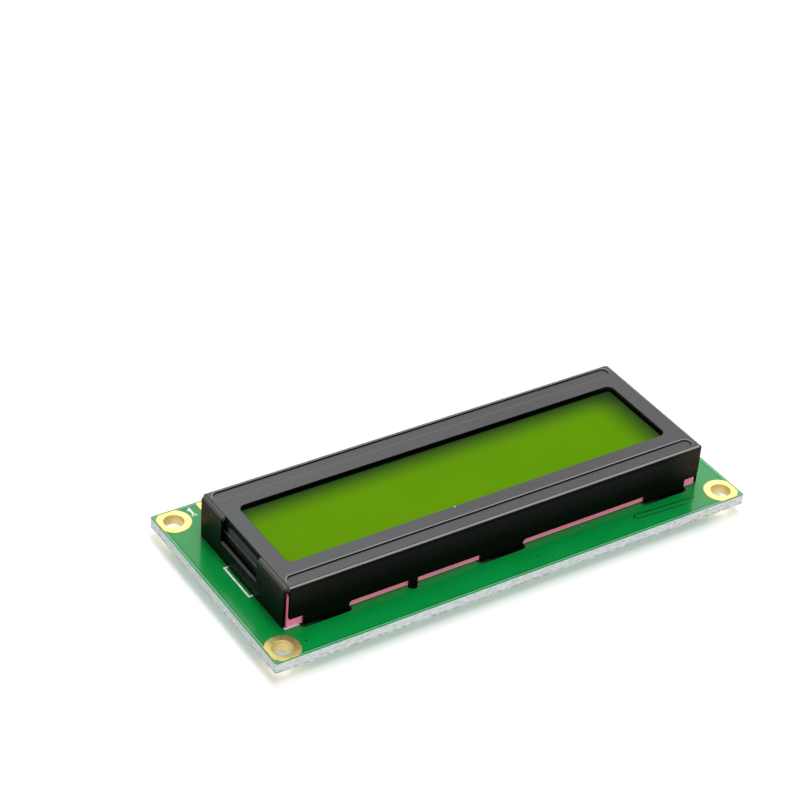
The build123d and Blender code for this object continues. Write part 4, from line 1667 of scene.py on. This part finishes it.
@dataclass(frozen=True)
class ArchLand:
    """A land that is round below and straight above."""

    radius: float
    top: float

    def reach(self, turn: float) -> float:
        """How far the land reaches from its centre.

        Args:
            turn: The angle in radians.

        Returns:
            The reach in millimetres.
        """
        across, along = abs(math.cos(turn)), math.sin(turn)
        if along <= 0:
            return self.radius
        return min(self.radius / max(across, TINY), self.top / along)


@dataclass(frozen=True)
class SquareLand:
    """A land with four straight sides."""

    half_width: float
    half_height: float

    def reach(self, turn: float) -> float:
        """How far the land reaches from its centre at an angle in radians."""
        across, along = max(abs(math.cos(turn)), TINY), max(abs(math.sin(turn)), TINY)
        return min(self.half_width / across, self.half_height / along)


Land = RoundLand | ArchLand | SquareLand


class Follows(Enum):
    """What a loop of a plated hole's section follows."""

    BORE = "bore"
    LAND = "land"


class Metal(IntEnum):
    """The plating's materials, in the order of their indices."""

    GOLD = 0
    RIM = 1
    BARREL = 2


def slot(centre: Point, length: float, width: float) -> list[Point]:
    """Outline of a round-ended slot.

    Args:
        centre: Its centre.
        length: Its length over all.
        width: Its width.

    Returns:
        The outline's points.
    """
    run = (length - width) / 2
    right = arc((centre[0] + run, centre[1]), width / 2, -90, 90, 16)
    left = arc((centre[0] - run, centre[1]), width / 2, 90, 270, 16)
    return right + left


@dataclass
class Plating:
    """Plated holes and rings, finer than the frame's own."""

    paint: Paint
    wall: float = 0.05
    rounding: float = 0.04
    flank: float = 0.015
    rim: Range = (0.03, 0.12)
    flat_margin: float = 0.06
    mount_bore: float = 1.5
    mount_land: float = 2.6
    mount_sides: int = 128
    header_bore: float = 0.5
    header_land: ArchLand = ArchLand(0.85, 1.9)
    lamp_bore: float = 0.45
    square_land: SquareLand = SquareLand(0.95, 1.15)
    square_x: float = 38.45
    square_reach: float = 4.03
    round_land: RoundLand = RoundLand(0.925, (36.0, 0.0))
    round_reach: float = 1.315
    sides: int = 64

    def build(self) -> list[Piece]:
        """Makes the mounting rings, the header pads and the lamp pads.

        Returns:
            The three pieces.
        """
        materials = ["gold_plate", "gold_rim", "barrel"]
        both, back = (Face.FRONT, Face.BACK), (Face.BACK,)
        rings = Mesh("mounting_rings", self.paint, materials)
        for place in MOUNTS:
            land = RoundLand(self.mount_land, place)
            self.hole(rings, place, self.mount_bore, land, both, self.mount_sides)
        pads = Mesh("header_pads", self.paint, materials)
        for pin in range(HEADER_COUNT):
            place = (HEADER_X + pin * HEADER_PITCH, HEADER_Y)
            self.hole(pads, place, self.header_bore, self.header_land, both, self.sides)
        lamps = Mesh("lamp_holes", self.paint, materials)
        for side in (-1, 1):
            place = (self.square_x, LEAD_ROW_Y + side * self.square_reach)
            self.hole(lamps, place, self.lamp_bore, self.square_land, back, self.sides)
            place = (self.round_land.centre[0], LEAD_ROW_Y + side * self.round_reach)
            self.hole(lamps, place, self.lamp_bore, self.round_land, back, self.sides)
        return [
            rings.finish("gold_plate", numbered("mount_ring", len(MOUNTS))),
            pads.finish("gold_plate", numbered("header_pad", HEADER_COUNT)),
            lamps.finish("gold_plate", ["lamp_pads"]),
        ]

    def profile(self, faces: Sequence[Face]) -> list[tuple[Follows, float, float, Metal]]:
        """The section of a plated hole, from the front to the back.

        Args:
            faces: Faces of the board that have a land.

        Returns:
            For each loop, what it follows, its shift outwards, its level and its material.
        """
        corner = self.rounding * 0.3
        wall = (Follows.BORE, self.wall, 0.0, Metal.BARREL)
        lined = [
            wall,
            (Follows.LAND, 0.0, 0.0, Metal.RIM),
            (Follows.LAND, 0.0, COPPER - self.flank, Metal.RIM),
            (Follows.LAND, -self.rim[0], COPPER, Metal.RIM),
            (Follows.LAND, -self.rim[1], COPPER, Metal.GOLD),
            (Follows.BORE, self.rounding + self.flat_margin, COPPER, Metal.GOLD),
            (Follows.BORE, self.rounding, COPPER, Metal.GOLD),
            (Follows.BORE, corner, COPPER - corner, Metal.GOLD),
            (Follows.BORE, 0.0, COPPER - self.rounding, Metal.BARREL),
        ]
        bare = [wall, (Follows.BORE, 0.0, 0.0, Metal.BARREL)]
        rows = []
        for face, order in ((Face.FRONT, 1), (Face.BACK, -1)):
            for follows, shift, proud, metal in (lined if face in faces else bare)[::order]:
                rows.append((follows, shift, face.level + face.outward * proud, metal))
        return rows

    def hole(
        self,
        mesh: Mesh,
        centre: Point,
        bore: float,
        land: Land,
        faces: Sequence[Face],
        steps: int,
    ) -> None:
        """Adds one plated hole.

        Args:
            mesh: Where it goes.
            centre: Its centre in millimetres.
            bore: Radius of the hole.
            land: The land round it.
            faces: Faces of the board that have the land.
            steps: Number of steps round the hole.
        """
        turns = [2 * math.pi * step / steps for step in range(steps)]
        rows = self.profile(faces)
        loops = []
        for follows, shift, level, _ in rows:
            loop = []
            for turn in turns:
                radius = (land.reach(turn) if follows is Follows.LAND else bore) + shift
                x, y = centre[0] + radius * math.cos(turn), centre[1] + radius * math.sin(turn)
                loop.append(Vector((x, y, level)) * MM)
            loops.append(loop)
        for first, (row, following) in enumerate(zip(rows, rows[1:])):
            index = max(row[3], following[3]) if row[0] is following[0] else Metal.GOLD
            mesh.skin(loops[first : first + 2], index=index)
        mesh.skin([loops[-1], loops[0]], index=Metal.BARREL)


@dataclass
class LugLands:
    """The dark walls of the six slots and the gold land behind each."""

    paint: Paint
    half_length: float = 3.55
    depth: float = 2.55
    from_wall: float = 0.7
    # inset and height of each step of the land's edge
    edge: tuple[Range, ...] = ((0.0, 0.0), (0.0, 0.035), (0.02, 0.05), (0.1, 0.05))
    slot_length: float = 8.1
    slot_width: float = 1.4
    wall: float = 0.05

    def build(self) -> list[Piece]:
        """Makes the lands and the slots' walls.

        Returns:
            The piece.
        """
        mesh = Mesh("lug_lands", self.paint, ["gold_plate", "gold_rim", "slot_wall"])
        for row in LUG_ROWS:
            for x in LUG_COLUMNS:
                self.land(mesh, x, row)
                self.walls(mesh, (x, row))
        return [mesh.finish("gold_plate", numbered("lug_pad", len(LUG_ROWS) * len(LUG_COLUMNS)))]

    def land(self, mesh: Mesh, x: float, row: float) -> None:
        """Adds the land on the inner side of a slot.

        Args:
            mesh: Where it goes.
            x: The slot's middle along the board.
            row: The slot's middle across the board.
        """
        inward = 1 if row < 0 else -1
        near = row + inward * self.from_wall
        low, high = sorted((near, near + inward * self.depth))
        loops = []
        for inset, proud in self.edge:
            x0, x1 = x - self.half_length + inset, x + self.half_length - inset
            y0, y1 = low + inset, high - inset
            loops.append([Face.BACK.place(u, v, proud) for u, v in ((x0, y0), (x1, y0), (x1, y1), (x0, y1))])
        mesh.skin(loops[:3], index=1, caps=(True, False))
        mesh.skin(loops[2:], index=0, caps=(False, True))

    def walls(self, mesh: Mesh, centre: Point) -> None:
        """Adds the thin lining of a slot.

        Args:
            mesh: Where it goes.
            centre: The slot's middle in millimetres.
        """
        outer = slot(centre, self.slot_length + 2 * self.wall, self.slot_width + 2 * self.wall)
        inner = slot(centre, self.slot_length, self.slot_width)
        levels = ((outer, BOARD_TOP), (inner, BOARD_TOP), (inner, BOARD_BOTTOM), (outer, BOARD_BOTTOM))
        rings = [[Vector((u, v, level)) * MM for u, v in outline] for outline, level in levels]
        mesh.skin([*rings, rings[0]], index=2)


@dataclass(frozen=True)
class Chip:
    """One chip resistor: its middle and its size."""

    x: float
    y: float
    length: float = 2.0
    width: float = 1.25
    height: float = 0.5


@dataclass
class BackParts:
    """Glob tops, chip resistors and solder on the back."""

    paint: Paint
    chips: tuple[Chip, ...] = (
        *(Chip(-30.9, -6.8 + 2.375 * row) for row in range(6)),
        Chip(-22.3, -4.25),
        Chip(20.0, 12.7, 3.2, 1.6, 0.55),
    )
    controller_radius: float = 6.5
    driver_radius: float = 4.95
    dome_height: float = 1.25
    dome_power: float = 3.4
    dome_sides: int = 128
    # how much smaller the domes are than the frame's, and how uneven
    dome_share: float = 0.992
    wave_orders: range = range(2, 11)
    rim_wave: float = 0.006
    top_wave: float = 0.01
    # radii of the domes' rings, as shares
    dome_rings: tuple[float, ...] = (
        1.0, 0.996, 0.985, 0.965, 0.935, 0.89, 0.83, 0.75, 0.65, 0.53, 0.4, 0.26, 0.12, 0.03,
    )
    end_cap: float = 0.4
    stroke_half_width: float = 0.03
    joint_reach: float = 1.05
    joint_climb: float = 0.36
    joint_swell: float = 0.05
    # shares of the joint's reach and of its half width
    joint_stations: tuple[float, ...] = (-0.4, -0.1, 0.0, 0.05, 0.12, 0.22, 0.35, 0.5, 0.68, 0.84, 0.95, 1.0)
    joint_lanes: tuple[float, ...] = (-1.0, -0.96, -0.86, -0.65, -0.35, 0.0, 0.35, 0.65, 0.86, 0.96, 1.0)
    bridge_radius: float = 0.9
    bridge_height: float = 0.3
    bridge_rings: tuple[float, ...] = (1.0, 0.97, 0.9, 0.78, 0.6, 0.4, 0.2, 0.05)
    # the solder round each backlight lead; its levels count from the board's back
    lead_reach: float = 1.25
    lead_x: Range = (39.2, 39.78)
    lead_half_width: float = 0.98
    lead_levels: Range = (0.02, 0.8)
    lead_rounding: float = 0.16
    dice: random.Random = field(default_factory=lambda: random.Random(7))

    def build(self) -> list[Piece]:
        """Makes the glob tops, the chips and the solder."""
        domes = [
            self.dome("controller", CONTROLLER, self.controller_radius),
            self.dome("driver", DRIVER, self.driver_radius),
        ]
        return [*domes, self.bodies(), self.solder()]

    def dome(self, name: str, centre: Point, radius: float) -> Piece:
        """Makes one glob top with a slightly uneven rim.

        Args:
            name: Name of the chip under it.
            centre: Its centre in millimetres.
            radius: Its radius.

        Returns:
            The piece.
        """
        mesh = Mesh(f"{name}_dome", self.paint, ["glob_resin"])
        waves = []
        for order in self.wave_orders:
            waves.append((order, self.dice.uniform(0, 6.28), self.dice.uniform(0.2, 1.0) / order))
        loops = []
        for share in self.dome_rings:
            rise = self.dome_height * (1 - share**self.dome_power) ** 0.5
            loop = []
            for step in range(self.dome_sides):
                turn = 2 * math.pi * step / self.dome_sides
                wave = sum(size * math.sin(order * turn + phase) for order, phase, size in waves)
                across = radius * share * (1 + self.rim_wave * wave * share**4) * self.dome_share
                x, y = centre[0] + across * math.cos(turn), centre[1] + across * math.sin(turn)
                proud = rise * (1 + self.top_wave * wave * share * (1 - share))
                loop.append(Face.BACK.place(x, y, proud))
            loops.append(loop)
        mesh.skin(loops, caps=(True, True))
        return mesh.finish("glob_resin", [f"{name}_blob"], smooth=60.0)

    @staticmethod
    def block(mesh: Mesh, low: Place, high: Place, bevel: float, index: int) -> None:
        """Adds a block with rounded edges.

        Args:
            mesh: Where it goes.
            low: Its lowest corner in millimetres.
            high: Its highest corner in millimetres.
            bevel: Radius of its edges.
            index: Material index.
        """
        size = [top - bottom for bottom, top in zip(low, high)]
        middle = [(top + bottom) / 2 for bottom, top in zip(low, high)]
        stretch = Matrix.Diagonal((*[side * MM for side in size], 1.0))
        place = Matrix.Translation(Vector(middle) * MM) @ stretch
        made = bmesh.ops.create_cube(mesh.data, size=1.0, matrix=place)
        edges = list({edge for vert in made["verts"] for edge in vert.link_edges})
        bevelled = bmesh.ops.bevel(
            mesh.data, geom=edges, offset=bevel * MM, affect="EDGES", segments=3, profile=0.5, material=-1
        )
        corners = {vert for vert in made["verts"] if vert.is_valid} | set(bevelled["verts"])
        for face in {face for vert in corners for face in vert.link_faces}:
            face.material_index = index

    def bodies(self) -> Piece:
        """Makes the eight chip resistors, each with its body, glaze, ends and a plain number.

        Returns:
            The piece.
        """
        mesh = Mesh("chip_bodies", self.paint, ["alumina", "overglaze", "solder", "chip_print"])
        base = BOARD_BOTTOM - COPPER
        for chip in self.chips:
            top = base - chip.height
            # inset along and across, lowest and highest level, rounding and material
            for inset, aside, low, high, bevel, index in (
                (0.06, 0.03, top + 0.07, base - 0.03, 0.03, 0),
                (0.34, 0.035, top + 0.03, top + 0.09, 0.025, 1),
            ):
                half, deep = chip.length / 2 - inset, chip.width / 2 - aside
                corners = [(chip.x + way * half, chip.y + way * deep) for way in (-1, 1)]
                self.block(mesh, (*corners[0], low), (*corners[1], high), bevel, index)
            for side in (-1, 1):
                ends = (chip.x + side * chip.length / 2, chip.x + side * (chip.length / 2 - self.end_cap))
                near, far = sorted(ends)
                low, high = (near, chip.y - chip.width / 2, top), (far, chip.y + chip.width / 2, base)
                self.block(mesh, low, high, 0.05, 2)
            self.number(mesh, "100", (chip.x, chip.y), chip.width * 0.46, top + 0.03)
        return mesh.finish("chip_ceramic", numbered("resistor", len(self.chips)), smooth=40.0)

    def number(self, mesh: Mesh, text: str, centre: Point, height: float, level: float) -> None:
        """Prints a plain number on a chip.

        Args:
            mesh: Where it goes.
            text: The number.
            centre: Its middle in millimetres.
            height: Height of a figure.
            level: Level of the chip's face.
        """
        for stroke in text_strokes(text, centre, height, 0.85 * height, -1.0):
            loops = []
            sides = (offset(stroke, self.stroke_half_width), offset(stroke, -self.stroke_half_width))
            for near, far in zip(*sides):
                corners = ((near, 0.004), (near, -0.006), (far, -0.006), (far, 0.004))
                loops.append([Vector((*place, level + rise)) * MM for place, rise in corners])
            mesh.skin(loops, index=3, caps=(True, True))

    def joint(self, mesh: Mesh, chip: Chip, side: int) -> None:
        """Adds the solder at one end of a chip.

        Args:
            mesh: Where it goes.
            chip: The chip.
            side: Plus one for the end on the right.
        """
        lean = self.dice.uniform(0.85, 1.12)
        loops = []
        for station in self.joint_stations:
            share = min(max(station, 0.0), 1.0)
            reach = chip.length / 2 + (station * self.joint_reach if station > 0 else station)
            climb = self.joint_climb * lean * (1 - share) ** 2.2 if station >= 0 else 0.0
            swell = self.joint_swell * math.sin(math.pi * share) ** 0.7
            loop = []
            for lane in self.joint_lanes:
                edge = (1 - abs(lane) ** 6) ** 0.5
                proud = COPPER + (climb + swell) * edge if share < 1 else COPPER
                loop.append(Face.BACK.place(chip.x + side * reach, chip.y + chip.width / 2 * lane, proud))
            loops.append(loop)
        feet = [[Vector((point.x, point.y, BOARD_BOTTOM * MM)) for point in loop] for loop in loops]
        mesh.skin([top + foot[::-1] for top, foot in zip(loops, feet)], caps=(True, True))

    def solder(self) -> Piece:
        """Makes the solder at the chips, on one jumper and round the two leads.

        Returns:
            The piece.
        """
        mesh = Mesh("solder_fillets", self.paint, ["solder"])
        for chip in self.chips:
            for side in (-1, 1):
                self.joint(mesh, chip, side)
        loops = []
        for share in self.bridge_rings:
            proud = COPPER + self.bridge_height * (1 - share**2.2)
            outline = circle(JUMPERS[-1], self.bridge_radius * share, 48)
            loops.append([Face.BACK.place(x, y, proud) for x, y in outline])
        mesh.skin(loops, caps=(True, True))
        for side in (-1, 1):
            y = LEAD_ROW_Y + side * self.lead_reach
            sides = (y - self.lead_half_width, y + self.lead_half_width)
            levels = [BOARD_BOTTOM + level for level in self.lead_levels]
            low, high = zip(self.lead_x, sides, levels)
            self.block(mesh, low, high, self.lead_rounding, 0)
        return mesh.finish("solder", ["solder_joints"], smooth=50.0)


@dataclass
class Nodes:
    """The frame's own nodes, with the finish of each and the rounding of the sharp ones."""

    paint: Paint
    frame: dict
    bezel_rounding: float = 0.09
    board_rounding: float = 0.05
    sharp_angle: float = 28.0

    def build(self) -> list[Piece]:
        """Gives every carried-over node the material of its slot.

        Returns:
            The dressed nodes.
        """
        slots = {part["node"]: part["material_slot"] for part in self.frame["record"]["subparts"]}
        own = {"chip_ceramic": "overglaze"}
        dressed = []
        for name, node in self.frame["nodes"].items():
            if name not in slots or node.type != "MESH":
                continue
            slot_name = slots[name]
            node.data.materials.clear()
            node.data.materials.append(self.paint[own.get(slot_name, slot_name)])
            dressed.append(node)
        self.soften(self.frame["nodes"]["bezel"], self.bezel_rounding)
        self.soften(self.frame["nodes"]["circuit_board"], self.board_rounding)
        return dressed

    def soften(self, node: Piece, radius: float) -> None:
        """Rounds a node's sharp edges a little, as coating and routing leave them.

        Args:
            node: The node's object.
            radius: Radius of the rounding in millimetres.
        """
        bevel = node.modifiers.new("soft_edges", "BEVEL")
        bevel.width = radius * MM
        bevel.segments = 2
        bevel.limit_method = "ANGLE"
        bevel.angle_limit = math.radians(self.sharp_angle)
        bevel.use_clamp_overlap = True
        bevel.miter_outer = "MITER_ARC"


@dataclass(frozen=True)
class View:
    """The photograph's viewing angle on the module."""

    azimuth: float = -34.81
    elevation: float = 35.01
    roll: float = 4.36
    distance: float = 371.0
    target: Place = (7.43, 26.14, 3.25)
    focal_pixels: float = 2406.0
    frame_pixels: float = 800.0
    sensor: float = 36.0

    def axes(self) -> tuple[Vector, Vector, Vector]:
        """Works out the camera's directions.

        Returns:
            Its right, up and backward directions.
        """
        azimuth, elevation, roll = map(math.radians, (self.azimuth, self.elevation, self.roll))
        level = math.cos(elevation)
        back = Vector((math.sin(azimuth) * level, -math.cos(azimuth) * level, math.sin(elevation)))
        right = Vector((math.cos(azimuth), math.sin(azimuth), 0.0))
        above = back.cross(right)
        turned_right = right * math.cos(roll) + above * math.sin(roll)
        turned_up = above * math.cos(roll) - right * math.sin(roll)
        return turned_right, turned_up, back


@dataclass(frozen=True)
class Softbox:
    """One large soft lamp that looks at the module, with its distance and size in metres."""

    name: str
    direction: Place
    distance: float
    size: tuple[float, float]
    radiance: float

    def build(self) -> Piece:
        """Hangs the lamp.

        Returns:
            The lamp's object.
        """
        data = bpy.data.lights.new(self.name, "AREA")
        data.shape = "RECTANGLE"
        data.size, data.size_y = self.size
        data.energy = self.radiance * math.pi * self.size[0] * self.size[1]
        lamp = bpy.data.objects.new(self.name, data)
        away = Vector(self.direction).normalized()
        turn = away.to_track_quat("Z", "Y").to_matrix().to_4x4()
        lamp.matrix_world = Matrix.Translation(away * self.distance) @ turn
        bpy.context.scene.collection.objects.link(lamp)
        return lamp


@dataclass
class Studio:
    """Floor, world, lamps and camera."""

    view: View = View()
    lamps: tuple[Softbox, ...] = (
        Softbox("rear_softbox", (0.4676, 0.6725, 0.5737), 0.62, (0.62, 0.42), 1.7),
        Softbox("strip_softbox", (0.08, -0.02, 1.0), 0.55, (0.5, 0.12), 9.0),
        Softbox("front_softbox", (-0.35, -0.9, 0.75), 0.9, (0.7, 0.35), 0.8),
        Softbox("under_softbox", (0.05, -0.05, -1.0), 0.5, (0.7, 0.7), 1.6),
    )
    world_light: float = 0.4
    floor_half_size: float = 3.0
    floor_drop: float = 0.00001
    floor_glow: float = 0.3
    far_glow: float = 0.4
    far_range: Range = (0.25, 1.0)

    def build(self) -> list[Piece]:
        """Makes the whole studio.

        Returns:
            The camera, the floor and the lamps.
        """
        bpy.context.scene.view_settings.view_transform = "Standard"
        camera = self.camera()
        self.world()
        return [camera, self.floor(), *(lamp.build() for lamp in self.lamps)]

    def camera(self) -> Piece:
        """Places the camera at the photograph's viewing angle.

        Returns:
            The camera.
        """
        right, above, back = self.view.axes()
        data = bpy.data.cameras.new("camera")
        data.sensor_width = self.view.sensor
        data.sensor_fit = "HORIZONTAL"
        data.lens = self.view.focal_pixels / self.view.frame_pixels * self.view.sensor
        data.clip_start = 0.01
        data.clip_end = 20.0
        camera = bpy.data.objects.new("camera", data)
        eye = (Vector(self.view.target) + back * self.view.distance) * MM
        turn = Matrix((right, above, back)).transposed().to_4x4()
        camera.matrix_world = Matrix.Translation(eye) @ turn
        bpy.context.scene.collection.objects.link(camera)
        bpy.context.scene.camera = camera
        return camera

    @staticmethod
    def seen(graph: Graph, path: bpy.types.Node) -> Socket:
        """One for what the camera sees, straight, mirrored or through glass.

        Args:
            graph: The graph of the world or the floor.
            path: Its Light Path node.

        Returns:
            The mask's socket.
        """
        straight = graph.math("MAXIMUM", path.outputs["Is Camera Ray"], path.outputs["Is Glossy Ray"])
        return graph.math("MAXIMUM", straight, path.outputs["Is Transmission Ray"])

    def world(self) -> None:
        """Makes a white background and a lower, even light on the object."""
        world = bpy.data.worlds.new("studio")
        bpy.context.scene.world = world
        world.use_nodes = True
        graph = Graph(world.node_tree)
        seen = self.seen(graph, graph.add("ShaderNodeLightPath"))
        strength = graph.plus(graph.times(seen, 1.0 - self.world_light), self.world_light)
        background = graph.add("ShaderNodeBackground", {"Color": (1.0, 1.0, 1.0, 1.0), "Strength": strength})
        graph.add("ShaderNodeOutputWorld", {0: background.outputs[0]})

    def floor_material(self) -> Material:
        """Makes the pale floor's material, which shows as white and keeps the object's shadow.

        Returns:
            The material.
        """
        material = bpy.data.materials.new("studio_floor")
        material.use_nodes = True
        graph = Graph(material.node_tree)
        path = graph.add("ShaderNodeLightPath")
        matt = graph.add("ShaderNodeBsdfDiffuse", {"Color": (0.8, 0.8, 0.8, 1.0)})
        # far from the lamps the camera sees the floor glow more, so that it stays white to the horizon
        away = graph.add("ShaderNodeVectorMath", {0: graph.coordinates()}, operation="LENGTH")
        far = graph.ramp(away.outputs["Value"], *self.far_range, 0.0, self.far_glow)
        far = graph.times(far, path.outputs["Is Camera Ray"])
        strength = graph.plus(graph.times(self.seen(graph, path), self.floor_glow), far)
        glow = graph.add("ShaderNodeEmission", {"Color": (1.0, 1.0, 1.0, 1.0), "Strength": strength})
        both = graph.add("ShaderNodeAddShader", {0: matt.outputs[0], 1: glow.outputs[0]})
        # the floor is one-sided, so that the module's back can be seen and lit from below
        under = graph.add("ShaderNodeNewGeometry").outputs["Backfacing"]
        open_way = graph.math("MAXIMUM", under, path.outputs["Is Shadow Ray"])
        clear = graph.add("ShaderNodeBsdfTransparent")
        sides = {0: open_way, 1: both.outputs[0], 2: clear.outputs[0]}
        graph.add("ShaderNodeOutputMaterial", {0: graph.add("ShaderNodeMixShader", sides).outputs[0]})
        return material

    def floor(self) -> Piece:
        """Lays the floor.

        Returns:
            The floor.
        """
        mesh = bpy.data.meshes.new("studio_floor")
        data = bmesh.new()
        bmesh.ops.create_grid(data, x_segments=1, y_segments=1, size=self.floor_half_size)
        data.to_mesh(mesh)
        data.free()
        mesh.materials.append(self.floor_material())
        floor = bpy.data.objects.new("studio_floor", mesh)
        floor.location = (0.0, 0.0, -self.floor_drop)
        bpy.context.scene.collection.objects.link(floor)
        return floor


def main() -> None:
    """Loads the frame, builds the studio and the module's pieces in order, and reports each of them."""
    logging.basicConfig(level=logging.INFO)
    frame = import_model()
    paint = Paint()
    for assembly in (
        Studio(),
        Nodes(paint, frame),
        FrontFace(paint),
        BackFace(paint),
        Plating(paint),
        LugLands(paint),
        BackParts(paint),
    ):
        for piece in assembly.build():
            faces = len(piece.data.polygons) if piece.type == "MESH" else 0
            LOG.info("%s: %s, %d faces", type(assembly).__name__, piece.name, faces)


if __name__ == "__main__":
    main()
